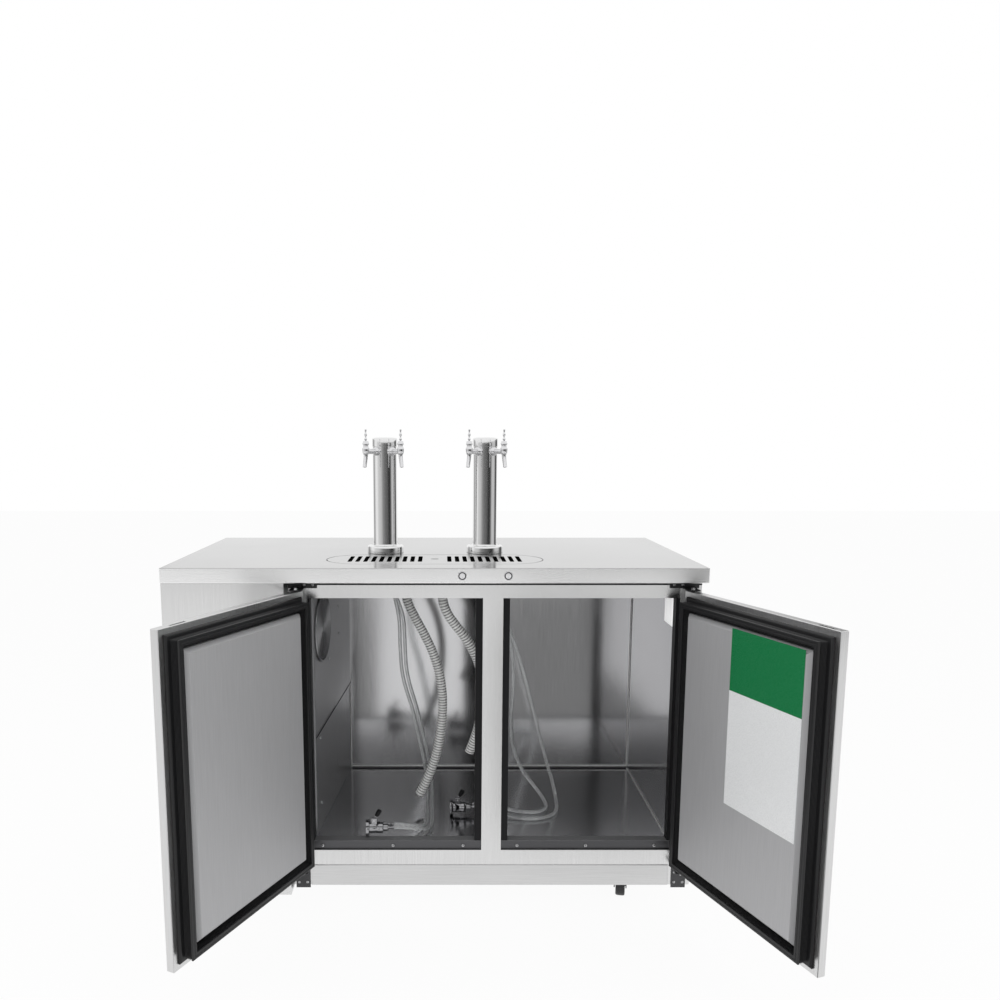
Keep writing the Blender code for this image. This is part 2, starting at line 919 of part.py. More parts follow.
def make_evaporator_cover(fan_mount):
    """The folded sheet in front of the evaporator, deeper at the back, its upper part standing proud."""
    back = liner_back - touch_gap
    wall = liner_left + touch_gap
    lower = cover_section(wall, back, evaporator_sheet)
    upper = cover_section(wall, back, 0)
    low = liner_floor + touch_gap
    high = liner_ceiling - touch_gap
    cover = plate("evaporator_cover", [lower], high - low, liner_steel, (0, 0, (low + high) / 2))
    seam = evaporator_seam - overrun
    proud = plate("evaporator_upper_cover", [upper], high - seam, None, (0, 0, (high + seam) / 2))
    run = liner_back - evaporator_front
    below = box(
        "seam_cutter",
        (-evaporator_back_depth, -overrun, -2 * (evaporator_seam_rise + overrun)),
        (2 * evaporator_back_depth, math.hypot(run, evaporator_seam_rise) + overrun, 0),
    )
    below.location = (liner_left, evaporator_front, evaporator_seam)
    below.rotation_euler = (math.atan2(evaporator_seam_rise, run), 0, 0)
    cut(proud, below)
    fuse(cover, proud)
    hole_depth = 8 * evaporator_sheet + overrun
    cut(cover, drum("fan_hole_cutter", fan_hole_radius, hole_depth, (0, 0, 0), "X", parent=fan_mount))
    return cover


def cover_section(wall, back, setback):
    """The cover's outline from above: its front fold and its face, set back from the proud one."""
    front_face = evaporator_face_x(evaporator_front)
    back_face = evaporator_face_x(back)
    inner_front = evaporator_front + evaporator_sheet
    return [
        (wall, evaporator_front),
        (front_face - setback, evaporator_front),
        (back_face - setback, back),
        (back_face - 2 * evaporator_sheet, back),
        (front_face - 2 * evaporator_sheet, inner_front),
        (wall, inner_front),
    ]


def make_fan_guard(fan_mount):
    """Wire rings on spokes over the fan hole."""
    seat = guard_rim_wire + touch_gap
    reach = guard_radius - guard_rim_wire
    rim = tube("fan_guard", ring_points(seat, reach), guard_rim_wire, black_metal, fan_mount, 0, closed=True)
    guard = as_mesh(rim)
    gap = (guard_radius - guard_hub_radius) / (guard_ring_count + 1)
    for index in range(guard_ring_count):
        radius = guard_hub_radius + gap / 2 + index * gap
        ring = tube("guard_ring", ring_points(seat, radius), guard_wire, None, fan_mount, 0, closed=True)
        fuse(guard, as_mesh(ring))
    hub_place = (seat, 0, 0)
    hub = drum("guard_hub", guard_hub_radius, 2 * guard_wire, hub_place, "X", None, fan_mount, small_sides)
    fuse(guard, hub)
    start = guard_hub_radius * guard_spoke_start_share
    height = seat - guard_wire * guard_spoke_rise_share
    for index in range(guard_spoke_count):
        angle = math.pi / guard_spoke_count * (2 * index + 1)
        ends = [(height, radius * math.cos(angle), radius * math.sin(angle)) for radius in (start, reach)]
        spoke = tube("guard_spoke", ends, guard_wire * guard_spoke_share, None, fan_mount, 0)
        fuse(guard, as_mesh(spoke), solver="MANIFOLD")
    return guard


def ring_points(height, radius):
    """Points round a ring in the fan guard's plane."""
    return [(height, y, z) for y, z in arc((0, 0), radius, 0, 2 * math.pi, middle_sides)[:-1]]


def make_fan(name, radius, parent):
    """A hub with twisted blades, its shaft hole to the back, its nose along the parent's X."""
    fan = drum(name, fan_hub_radius, fan_hub_depth, (0, 0, 0), "X", black_plastic, parent, small_sides)
    root = fan_hub_radius - fan_blade_thickness
    rise = fan_blade_depth / 2
    rings = [
        blade_section(root, radius * blade_root_share, rise, 0),
        blade_section(radius, radius * blade_tip_share, rise * blade_tip_twist_share, 1),
    ]
    for index in range(fan_blade_count):
        blade = loft(name + "_blade", rings, parent=parent)
        blade.rotation_euler = (2 * math.pi * index / fan_blade_count, 0, 0)
        fuse(fan, blade)
    bore = bore_radius(fan_shaft_radius, running_gap, small_sides)
    bore_length = 2 * fan_hub_depth * fan_bore_share
    back = (-fan_hub_depth / 2, 0, 0)
    cut(fan, drum(name + "_bore", bore, bore_length, back, "X", None, parent, small_sides))
    return fan


def blade_section(along, half_chord, rise, rounding):
    """A blade's section at a distance from the hub's axis; rounding of 1 bends it to the fan's circle."""
    section = []
    for chord_share, side in ((-1, -1), (0, -1), (1, -1), (1, 1), (0, 1), (-1, 1)):
        across = chord_share * half_chord
        lift = chord_share * rise + side * fan_blade_thickness / 2
        section.append((lift, across, math.sqrt(along * along - across * across * rounding)))
    return section


def make_evaporator_coil(fan_centre_x):
    """The finned coil in the wall pocket, with the bracket that carries the fan motor and its shaft."""
    back = liner_left - pocket_depth + touch_gap
    front = back + coil_thickness
    coil = box(
        "evaporator_coil",
        (back, pocket_front + coil_inset, pocket_bottom + coil_inset),
        (front, pocket_back - coil_inset, coil_top),
        coil_metal,
    )
    fin_pitch = (pocket_back - pocket_front - 2 * coil_inset) / fin_count
    for index in range(fin_count):
        y = pocket_front + coil_inset + fin_pitch / 2 + index * fin_pitch
        cut_box(
            coil,
            (front - fin_slot_depth, y - fin_slot / 2, pocket_bottom + 2 * coil_inset),
            (front + overrun, y + fin_slot / 2, coil_top - coil_inset),
        )
    arm = box(
        "motor_arm",
        (back, fan_depth - coil_bracket_width / 2, coil_top - coil_inset),
        (back + coil_bracket_thickness, fan_depth + coil_bracket_width / 2, fan_height),
    )
    motor_place = (back + motor_depth / 2, fan_depth, fan_height)
    motor = drum("fan_motor", motor_radius, motor_depth, motor_place, "X", sides=middle_sides)
    shaft_place = ((fan_centre_x + back) / 2, fan_depth, fan_height)
    shaft = drum("fan_shaft", fan_shaft_radius, fan_centre_x - back, shaft_place, "X", sides=small_sides)
    return fuse(coil, arm, motor, shaft)


def make_compressor():
    """The hermetic compressor pot on its feet, with its weld band."""
    middle = bay_middle + compressor_from_bay_centre
    floor = underside + sheet + touch_gap
    shoulder = compressor_height - compressor_dome
    profile = [(0, compressor_height)]
    for across, up in arc((0, 0), 1, math.pi / 2, 0, 3)[1:]:
        profile.append((compressor_radius * across, shoulder + compressor_dome * up))
    band = compressor_height * compressor_band_share
    band_radius = compressor_radius + compressor_band
    profile += [
        (compressor_radius, band + compressor_band),
        (band_radius, band + compressor_band),
        (band_radius, band - compressor_band),
        (compressor_radius, band - compressor_band),
        (compressor_radius, compressor_dome),
        (compressor_radius * compressor_base_share, compressor_foot),
        (0, compressor_foot),
    ]
    pot = turned("compressor", profile, black_metal, (middle, compressor_depth, floor), sides=small_sides)
    reach = compressor_radius * compressor_foot_reach_share
    for side in (-1, 1):
        foot_depth = compressor_depth + side * compressor_radius * compressor_foot_place_share
        foot = box(
            "compressor_foot",
            (middle - reach, foot_depth - compressor_foot, floor),
            (middle + reach, foot_depth + compressor_foot, floor + compressor_foot + sheet),
        )
        fuse(pot, foot)
    return pot


def condenser_height_at_centre():
    return underside + sheet + touch_gap + condenser_bottom_gap + condenser_height / 2


def condenser_fan_y():
    return condenser_front + condenser_thickness + condenser_fan_gap + fan_hub_depth / 2


def make_condenser():
    """The finned condenser behind the louvres, on feet, with arms that hold the fan motor behind it."""
    height = condenser_height_at_centre()
    half = condenser_width / 2
    low = height - condenser_height / 2
    high = height + condenser_height / 2
    back = condenser_front + condenser_thickness
    coil = box(
        "condenser",
        (bay_middle - half, condenser_front, low),
        (bay_middle + half, back, high),
        coil_metal,
    )
    bay_pitch = condenser_width / condenser_slot_count
    for index in range(condenser_slot_count):
        x = bay_middle - half + bay_pitch / 2 + index * bay_pitch
        cut_box(
            coil,
            (x - condenser_slot / 2, condenser_front - overrun, low + condenser_slot),
            (x + condenser_slot / 2, condenser_front + condenser_slot_depth, high - condenser_slot),
        )
    motor_face = condenser_fan_y() + fan_hub_depth / 2 + touch_gap + sheet
    motor_middle = motor_face + motor_depth
    half_arm = condenser_arm / 2
    for side in (-1, 1):
        foot_x = bay_middle + side * half * condenser_foot_place_share
        foot = box(
            "condenser_foot",
            (foot_x - condenser_arm, condenser_front, underside + sheet + touch_gap),
            (foot_x + condenser_arm, back, low + sheet),
        )
        arm_x = bay_middle + side * (condenser_fan_radius + condenser_arm)
        arm = box(
            "motor_arm",
            (arm_x - half_arm, back - sheet, height - half_arm),
            (arm_x + half_arm, motor_face + condenser_arm, height + half_arm),
        )
        fuse(coil, foot, arm)
    reach = condenser_fan_radius + condenser_arm
    cross = box(
        "motor_bar",
        (bay_middle - reach, motor_face, height - half_arm),
        (bay_middle + reach, motor_face + condenser_arm, height + half_arm),
    )
    motor_place = (bay_middle, motor_middle, height)
    motor = drum("condenser_motor", motor_radius, 2 * motor_depth, motor_place, "Y", sides=middle_sides)
    shaft_start = condenser_fan_y()
    shaft_place = (bay_middle, (motor_middle + shaft_start) / 2, height)
    shaft_length = motor_middle - shaft_start
    shaft = drum("condenser_shaft", fan_shaft_radius, shaft_length, shaft_place, "Y", sides=small_sides)
    return fuse(coil, cross, motor, shaft)


def make_lamp_housing():
    """The white housing in the top front corner of the right wall."""
    return box(
        "lamp_housing",
        (liner_right - touch_gap - lamp_thickness, lamp_front, liner_ceiling - touch_gap - lamp_height),
        (liner_right - touch_gap, lamp_front + lamp_length, liner_ceiling - touch_gap),
        white_plastic,
        edge=lamp_round,
    )


def rectangle_ring(left, right, low, high, y):
    return [(left, y, low), (right, y, low), (right, y, high), (left, y, high)]


def mitred_frame(name, left, right, low, high, profile, material, parent, side):
    """A section of (inset, depth) points carried round a rectangle with mitred corners."""
    corners = ((left, 1, low, 1), (right, -1, low, 1), (right, -1, high, -1), (left, 1, high, -1))
    rings = []
    for x_edge, x_way, z_edge, z_way in corners:
        ring = [(side * (x_edge + x_way * inset), depth, z_edge + z_way * inset) for inset, depth in profile]
        rings.append(ring)
    return loft(name, rings, material, (0, 0, 0), parent, closed=True)


def gasket_profile():
    """The black moulded step and the pleated magnetic gasket on it, as (inset, depth) points."""
    base = -pivot_depth + front_plane + door_pan_depth + touch_gap
    ledge = base + gasket_base_rise
    tip = frame_plane - pivot_depth - touch_gap
    start = door_lip
    seal = start + gasket_tip_start
    seal_end = seal + gasket_tip_width
    outer_folds = []
    inner_folds = []
    for height_share, fold_share in zip(gasket_height_shares, gasket_fold_shares):
        depth = ledge + (tip - ledge) * height_share
        outer_folds.append((seal + gasket_pleat * fold_share, depth))
        inner_folds.insert(0, (seal_end + gasket_pleat * (0 if fold_share > 0 else 1), depth))
    wall_top = ledge + gasket_wall_rise / 2
    return [
        (start, base),
        (start, ledge - gasket_step),
        (start + gasket_step, ledge),
        (seal, ledge),
        *outer_folds,
        (seal, tip),
        (seal_end, tip),
        *inner_folds,
        (start + gasket_band - gasket_inner_step / 2, wall_top),
        (start + gasket_band, wall_top),
        (start + gasket_band, base),
    ]


def make_door(side_name, pivot_x, side, open_angle, lock_x):
    """A door about its pivot: steel pan, pleated gasket and inner panel, turned to its open rest place."""
    pivot = empty("door_pivot_" + side_name, (pivot_x, pivot_depth, 0), -side * open_angle)
    left, right = -pivot_inset, free_edge
    front = front_plane - pivot_depth
    pan_back = front + door_pan_depth
    pan_corners = sorted((side * left, side * right))
    pan = box(
        "door_pan_" + side_name,
        (pan_corners[0], front, door_bottom),
        (pan_corners[1], pan_back, door_top),
        brushed_steel,
        pivot,
        edge=door_edge,
    )
    pin_bore = bore_radius(pin_radius, running_gap, small_sides)
    bore_length = 2 * (pin_length + running_gap)
    for height in (door_bottom, door_top):
        cut(pan, drum("pin_bore", pin_bore, bore_length, (0, 0, height), parent=pivot, sides=small_sides))
    grip_x = sorted((side * (right - grip_inset - grip_width), side * (right - grip_inset)))
    grip = box(
        "grip_recess",
        (grip_x[0], front - grip_depth, grip_centre - grip_height / 2),
        (grip_x[1], front + grip_depth, grip_centre + grip_height / 2),
        parent=pivot,
        edge=grip_depth / 3,
    )
    cut(pan, grip)
    cam_depth = lock_barrel_length - pivot_depth
    cam_x = lock_x - pivot_x
    slot_low = (
        cam_x - lock_cam_width / 2 - lock_cam_room,
        cam_depth - lock_cam_room / 2,
        lock_height - lock_cam_length - lock_cam_room,
    )
    slot_high = (
        cam_x + lock_cam_length / 2 + lock_cam_width,
        cam_depth + lock_cam_thickness + lock_cam_room / 2,
        door_top + overrun,
    )
    cut_box(pan, slot_low, slot_high, pivot)
    gasket_name = "door_gasket_" + side_name
    mitred_frame(
        gasket_name, left, right, door_bottom, door_top, gasket_profile(), gasket_rubber, pivot, side
    )
    inset = door_lip + gasket_band + touch_gap
    sections = (
        (inset, pan_back + touch_gap),
        (inset, pan_back + liner_rim_rise),
        (inset + liner_bevel, pan_back + liner_face_rise),
    )
    rings = []
    for reach, depth in sections:
        ring = rectangle_ring(
            side * (left + reach), side * (right - reach), door_bottom + reach, door_top - reach, depth
        )
        rings.append(ring)
    loft("door_panel_" + side_name, rings, liner_steel, (0, 0, 0), pivot)


def make_hinges(side_name, pivot_x, side):
    """The top and bottom brackets of a door, each with its flange on the frame, its arm and its pin."""
    face = frame_plane - touch_gap
    nose = pivot_depth - bracket_nose
    top_low = door_top + top_bracket_gap
    flange_x = sorted((pivot_x + side * top_flange_outer, pivot_x - side * top_flange_inner))
    top = box(
        "hinge_top_" + side_name,
        (flange_x[0], face - bracket_thickness, top_low),
        (flange_x[1], face, top_low + top_flange_height),
        black_metal,
    )
    arm = box(
        "hinge_arm",
        (pivot_x - bracket_width / 2, nose, top_low),
        (pivot_x + bracket_width / 2, face - bracket_thickness / 2, top_low + bracket_thickness),
        edge=bracket_thickness / 4,
    )
    pin = drum(
        "hinge_pin",
        pin_radius,
        pin_length + top_bracket_gap,
        (pivot_x, pivot_depth, top_low + bracket_thickness / 2 - (pin_length + top_bracket_gap) / 2),
        sides=small_sides,
    )
    fuse(top, arm, pin)
    shelf_top = door_bottom - touch_gap
    flange_x = sorted((pivot_x + side * bottom_flange_inner, pivot_x - side * bottom_flange_outer))
    bottom = box(
        "hinge_bottom_" + side_name,
        (flange_x[0], face - bracket_thickness, shelf_top - bottom_flange_height),
        (flange_x[1], face, shelf_top),
        black_metal,
    )
    shelf = box(
        "hinge_shelf",
        (pivot_x - bracket_width / 2, nose, shelf_top - shelf_thickness),
        (pivot_x + bracket_width / 2, face - bracket_thickness / 2, shelf_top),
        edge=shelf_thickness / 4,
    )
    low_pin = drum(
        "hinge_low_pin",
        pin_radius,
        pin_length + shelf_thickness / 2,
        (pivot_x, pivot_depth, shelf_top - shelf_thickness / 2 + (pin_length + shelf_thickness / 2) / 2),
        sides=small_sides,
    )
    fuse(bottom, shelf, low_pin)


def make_lock(side_name, lock_x):
    """A lock in the fascia: round face with its keyway, barrel, and the cam that drops into the door."""
    axis_empty = empty("lock_axis_" + side_name, (lock_x, 0, lock_height))
    profile = [(0, lock_face_depth + touch_gap)]
    for across, up in lock_face_shares:
        profile.append((lock_face_radius * across, lock_face_depth * up + touch_gap))
    profile += [
        (lock_face_radius, touch_gap),
        (lock_barrel_radius, touch_gap),
        (lock_barrel_radius, -lock_barrel_length),
        (0, -lock_barrel_length),
    ]
    lock = turned("lock_" + side_name, profile, chrome, (0, 0, 0), axis_empty, small_sides, "Y")
    cam = box(
        "lock_cam",
        (-lock_cam_width / 2, lock_barrel_length - touch_gap, -lock_cam_width / 2),
        (lock_cam_length, lock_barrel_length + lock_cam_thickness, lock_cam_width / 2),
        parent=axis_empty,
    )
    fuse(lock, cam)
    cut_box(
        lock,
        (-keyway_width / 2, -lock_face_depth - overrun, -keyway_height / 2),
        (keyway_width / 2, -lock_face_depth - touch_gap + keyway_depth, keyway_height / 2),
        axis_empty,
    )


def make_drip_tray():
    """The oblong pan under the grate, with its rim, and the drain pipe down to the drain hose."""
    rim_top = worktop_top - grate_thickness - touch_gap
    rim = plate(
        "drip_tray",
        [stadium(tray_half_length - touch_gap, tray_half_width - touch_gap, end_steps)],
        tray_wall,
        brushed_steel,
        (0, tray_centre_depth, rim_top - tray_wall / 2),
    )
    well_length = tray_half_length - tray_ledge - touch_gap
    well_width = tray_half_width - tray_ledge - touch_gap
    well = plate(
        "tray_well",
        [stadium(well_length, well_width, end_steps)],
        tray_depth,
        None,
        (0, tray_centre_depth, rim_top - tray_wall / 2 - tray_depth / 2),
    )
    pipe_top = rim_top - tray_depth
    pipe_bottom = liner_ceiling - spigot_length
    pipe = drum(
        "drain_pipe",
        spigot_radius,
        pipe_top - pipe_bottom,
        (drain_offset, tray_centre_depth, (pipe_top + pipe_bottom) / 2),
        sides=small_sides,
    )
    fuse(rim, well, pipe)
    hollow = plate(
        "tray_hollow",
        [stadium(well_length - tray_wall, well_width - tray_wall, end_steps)],
        2 * (tray_depth - tray_wall / 2),
        None,
        (0, tray_centre_depth, rim_top),
    )
    bore = drum(
        "drain_bore",
        spigot_bore,
        2 * (rim_top - pipe_bottom) + overrun,
        (drain_offset, tray_centre_depth, pipe_bottom),
        sides=small_sides,
    )
    return cut(rim, hollow, bore, solver="MANIFOLD")


def make_drip_grate():
    """The slotted plate that lies flush in the worktop over the tray and lifts out."""
    outlines = [stadium(tray_half_length - touch_gap, tray_half_width - touch_gap, end_steps)]
    for side in (-1, 1):
        for index in range(slot_count):
            x = side * (slot_first + index * slot_pitch)
            slot = stadium(slot_half_length, slot_width / 2, slot_steps)
            outlines.append([(x + across, slot_centre_back + along) for along, across in slot])
    outlines.append(stadium(drain_slot_length / 2, drain_slot_width / 2, slot_steps, (0, slot_centre_back)))
    place = (0, tray_centre_depth, worktop_top - grate_thickness / 2)
    return plate("drip_grate", outlines, grate_thickness, brushed_steel, place)


def make_tower(side_name, x):
    """The column with its base flange and the tail that passes down through the worktop, and its cap."""
    base = worktop_top + touch_gap
    column_top = tower_height - cap_crown - sheet
    tail_bottom = liner_ceiling - base
    inner = column_radius - column_wall
    tail_inner = tail_radius - tail_wall
    outside = [
        (0, column_top),
        (column_radius, column_top),
        (column_radius, flange_height + flange_round),
        (column_radius + flange_round / 2, flange_height),
        (flange_radius - flange_round, flange_height),
    ]
    corner = (flange_radius - flange_round, flange_height - flange_round)
    outside += arc(corner, flange_round, math.pi / 2, 0, 2)[1:]
    outside += [(flange_radius, 0), (tail_radius, 0), (tail_radius, tail_bottom), (0, tail_bottom)]
    hollow_outline = [
        (0, column_top + overrun),
        (inner, column_top + overrun),
        (inner, flange_height),
        (tail_inner, 0),
        (tail_inner, tail_bottom + tail_floor),
        (0, tail_bottom + tail_floor),
    ]
    place = (x, tower_depth, base)
    column = turned("tower_column_" + side_name, outside, brushed_steel, place)
    cut(column, turned("tower_hollow", hollow_outline, None, place))
    for spread in (-1, 1):
        hole_place = (x + line_hole_offset, tower_depth + spread * line_hole_spread, liner_ceiling)
        hole = drum("line_hole", line_bore, 4 * tail_floor, hole_place, sides=small_sides)
        cut(column, hole, solver="MANIFOLD")
    reach = column_radius + overrun
    shank_bore = bore_radius(shank_radius, running_gap, small_sides)
    for way in (-1, 1):
        mount = faucet_mount(side_name, x, way)
        hole = drum("shank_hole", shank_bore, reach, (0, -reach / 2, 0), "Y", None, mount, small_sides)
        cut(column, hole, solver="MANIFOLD")
    cap_inner = bore_radius(column_radius, touch_gap, round_sides)
    under_top = column_top + touch_gap
    cap_outline = [(0, tower_height)]
    for across, down in cap_crown_shares:
        cap_outline.append((cap_radius * across, tower_height - cap_crown * down))
    cap_outline += [
        (cap_radius, tower_height - cap_height),
        (cap_inner, tower_height - cap_height),
        (cap_inner, under_top),
        (0, under_top),
    ]
    return turned("tower_cap_" + side_name, cap_outline, chrome, place)


def faucet_mount(side_name, x, way):
    """The empty on the tower's axis at shank height, its -Y pointing the way the faucet stands."""
    name = f"faucet_mount_{side_name}_{'inner' if way * x < 0 else 'outer'}"
    found = bpy.data.objects.get(name)
    if found:
        return found
    angle = math.atan2(faucet_lateral, faucet_forward) * way
    return empty(name, (x, tower_depth, worktop_top + shank_height), angle)


def make_faucet(side_name, x, way):
    """A faucet: shank through the column, collar against it, upright body and downward spout."""
    mount = faucet_mount(side_name, x, way)
    label = mount.name.replace("faucet_mount_", "")
    reach = math.hypot(faucet_lateral, faucet_forward)
    outline = [(0, body_above)]
    outline += [(body_radius * across, body_above * up) for across, up in faucet_body_shares]
    outline += [(body_radius * faucet_foot_share, -body_below), (0, -body_below)]
    body = turned("faucet_" + label, outline, chrome, (0, -reach, 0), mount, small_sides)
    collar_start = column_radius * collar_start_share
    collar_end = column_radius + collar_length
    collar_outline = [
        (0, reach),
        (neck_radius, reach),
        (neck_radius, collar_end),
        (collar_radius, collar_end - collar_length * collar_cone_share),
        (collar_radius, collar_start),
        (0, collar_start),
    ]
    collar = turned("faucet_collar", collar_outline, None, (0, 0, 0), mount, small_sides, "Y")
    clearance = bore_radius(column_radius, touch_gap, round_sides)
    cut(collar, drum("column_clearance", clearance, 4 * collar_radius, (0, 0, 0), parent=mount))
    shank_end = collar_end - collar_length / 3
    shank_place = (0, -(shank_end + shank_inside) / 2, 0)
    shank_length = shank_end - shank_inside
    shank = drum("faucet_shank", shank_radius, shank_length, shank_place, "Y", None, mount, small_sides)
    spout_points = []
    for forward, down in spout_bend_shares:
        spout_points.append(Vector((0, -reach - spout_forward * forward, -spout_drop * down)))
    spout = as_mesh(tube("faucet_spout", spout_points, spout_radius, None, mount, 1, spout_taper_shares))
    fuse(body, collar, shank, spout)
    lean = spout_points[-1] - spout_points[-2]
    nozzle_length = 2 * spout_bore_depth
    nozzle = drum("spout_bore", spout_bore, nozzle_length, spout_points[-1], "Z", None, mount, small_sides)
    nozzle.rotation_euler = lean.to_track_quat("Z", "Y").to_euler()
    socket_place = (0, -reach, body_above)
    socket_length = 2 * socket_depth
    socket = drum("lever_socket", socket_radius, socket_length, socket_place, "Z", None, mount, small_sides)
    cut(body, nozzle, socket, solver="MANIFOLD")
    pivot = empty("lever_pivot_" + label, (0, -reach, lever_pivot_height), parent=mount)
    make_lever("faucet_lever_" + label, pivot)


def make_lever(name, pivot):
    """The slim turned lever on the ball that rocks in the faucet's socket."""
    length = lever_length - lever_pivot_height
    outline = [(0, length)]
    outline += [(lever_radius * across, length * up) for across, up in lever_outline_shares]
    neck = lever_radius * lever_neck_share
    start = math.asin(neck / lever_ball_radius)
    outline.append((neck, lever_ball_radius * math.cos(start)))
    steps = 4
    for index in range(1, steps):
        angle = start + (math.pi - start) * index / steps
        outline.append((lever_ball_radius * math.sin(angle), lever_ball_radius * math.cos(angle)))
    outline.append((0, -lever_ball_radius))
    return turned(name, outline, chrome, (0, 0, 0), pivot, few_sides)


def caster_places():
    """Each caster's X, depth, name and the turn of its fork at rest."""
    return (
        (-caster_x, caster_front_depth, "front_left", math.radians(200)),
        (caster_x, caster_front_depth, "front_right", math.radians(168)),
        (-caster_x, caster_back_depth, "rear_left", math.radians(165)),
        (caster_x, caster_back_depth, "rear_right", math.radians(190)),
    )


def caster_pad(place):
    """The plate under the cabinet that takes a caster's stem."""
    half = caster_pad_width / 2
    return box(
        "caster_pad",
        (place[0] - half, place[1] - half, underside - caster_pad_thickness),
        (place[0] + half, place[1] + half, underside + sheet / 2),
    )


def caster_bore(place):
    """The hole for a caster's stem, up through its pad."""
    length = 2 * (stem_length + running_gap)
    radius = bore_radius(stem_radius, running_gap, small_sides)
    return drum("stem_bore", radius, length, (place[0], place[1], underside), sides=small_sides)


def make_caster(place):
    """A swivel caster: stem, swivel head and fork as one, with its axle, and the wheel that runs on it."""
    x, depth, name, turn = place
    swivel = empty("caster_swivel_" + name, (x, depth, 0), turn)
    top = underside - caster_pad_thickness - touch_gap
    outline = [(0, underside + stem_length), (stem_radius, underside + stem_length), (stem_radius, top)]
    for across, down in swivel_outline_shares:
        outline.append((swivel_radius * across, top - swivel_height * down))
    outline.append((0, top - swivel_height))
    head = turned("caster_fork_" + name, outline, black_metal, (0, 0, 0), swivel, small_sides)
    leg_top = top - swivel_height * fork_top_share
    tip = fork_leg_width * fork_tip_share
    leg_outline = [
        (-swivel_radius * fork_front_share, leg_top),
        (swivel_radius * fork_back_share, leg_top),
        (-wheel_trail + tip, wheel_radius),
    ]
    leg_outline += arc((-wheel_trail, wheel_radius), tip, 0, -math.pi, 4)[1:]
    inner = wheel_width / 2 + fork_gap
    upright = (math.pi / 2, 0, math.pi / 2)
    for side in (-1, 1):
        leg_place = (side * (inner + fork_leg_thickness / 2), 0, 0)
        leg = plate("fork_leg", [leg_outline], fork_leg_thickness, None, leg_place, swivel, upright)
        fuse(head, leg)
    axle_place = (0, -wheel_trail, wheel_radius)
    axle_length = 2 * (inner + fork_leg_thickness * axle_reach_share)
    fuse(head, drum("caster_axle", axle_radius, axle_length, axle_place, "X", None, swivel, small_sides))
    axle_empty = empty("caster_axis_" + name, axle_place, parent=swivel)
    half = wheel_width / 2
    rim = bore_radius(wheel_radius, 0, middle_sides)
    bore = bore_radius(axle_radius, running_gap, middle_sides)
    wheel_outline = [
        (bore, half),
        (wheel_hub_radius, half),
        (rim * wheel_dish_share, half - wheel_recess),
        (rim, half - wheel_round),
        (rim, -half + wheel_round),
        (rim * wheel_dish_share, -half + wheel_recess),
        (wheel_hub_radius, -half),
        (bore, -half),
    ]
    flat_down = math.pi / middle_sides
    wheel_name = "caster_wheel_" + name
    turned(wheel_name, wheel_outline, wheel_grey, (0, 0, 0), axle_empty, middle_sides, "X", flat_down)


def curve_through(points):
    """Close points on a smooth curve whose ends leave along the route's first and last stretches."""
    first, second, last, before_last = map(Vector, (points[0], points[1], points[-1], points[-2]))
    inner = [Vector(point) for point in points[1:-1]]
    lead_in = (second - first).normalized() * (inner[1] - second).length
    lead_out = (last - before_last).normalized() * (before_last - inner[-2]).length
    padded = [inner[1] - 2 * lead_in, *inner, inner[-2] + 2 * lead_out]
    dense = []
    for start_index in range(1, len(padded) - 2):
        before, start, end, after = padded[start_index - 1:start_index + 3]
        for index in range(curve_fineness):
            share = index / curve_fineness
            bend = (2 * before - 5 * start + 4 * end - after) * share**2
            twist = (3 * start - before - 3 * end + after) * share**3
            dense.append((2 * start + (end - before) * share + bend + twist) / 2)
    dense.append(inner[-1])
    return dense


def even_points(dense, step):
    """Points at even steps along a line of close points, with the line's length."""
    length = sum((second - first).length for first, second in zip(dense, dense[1:]))
    count = max(1, round(length / step))
    found = [dense[0]]
    travelled = 0.0
    for first, second in zip(dense, dense[1:]):
        stretch = (second - first).length
        while len(found) < count and travelled + stretch >= length * len(found) / count:
            share = (length * len(found) / count - travelled) / stretch
            found.append(first.lerp(second, share))
        travelled += stretch
    found.append(dense[-1])
    return found, length


def smooth_route(points, step):
    """The route's straight ends and the smooth curve between them, read at even steps."""
    first, first_length = even_points([Vector(points[0]), Vector(points[1])], step)
    middle, middle_length = even_points(curve_through(points), step)
    last, last_length = even_points([Vector(points[-2]), Vector(points[-1])], step)
    return [*first[:-1], *middle, *last[1:]], first_length + middle_length + last_length


# Routes of the hanging hoses and lines, chosen by hand, from ceiling to end
air_hose_route = [
    (-0.090, 0.300, 0.9497),
    (-0.090, 0.300, 0.922),
    (-0.086, 0.300, 0.892),
    (-0.075, 0.300, 0.862),
    (-0.057, 0.300, 0.826),
    (-0.036, 0.300, 0.787),
    (-0.009, 0.300, 0.729),
    (0.012, 0.300, 0.662),
    (0.022, 0.300, 0.595),
    (0.022, 0.300, 0.525),
    (0.014, 0.300, 0.452),
    (-0.002, 0.300, 0.381),
    (-0.024, 0.300, 0.322),
    (-0.038, 0.300, 0.292),
    (-0.050, 0.300, 0.268),
]
drain_hose_route = [
    (0.022, 0.180, 0.9497),
    (0.022, 0.180, 0.922),
    (0.027, 0.181, 0.891),
    (0.041, 0.183, 0.860),
    (0.062, 0.186, 0.830),
    (0.087, 0.190, 0.797),
    (0.116, 0.198, 0.745),
    (0.135, 0.206, 0.690),
    (0.142, 0.214, 0.625),
    (0.138, 0.222, 0.560),
    (0.127, 0.230, 0.500),
    (0.114, 0.236, 0.458),
    (0.104, 0.240, 0.430),
]
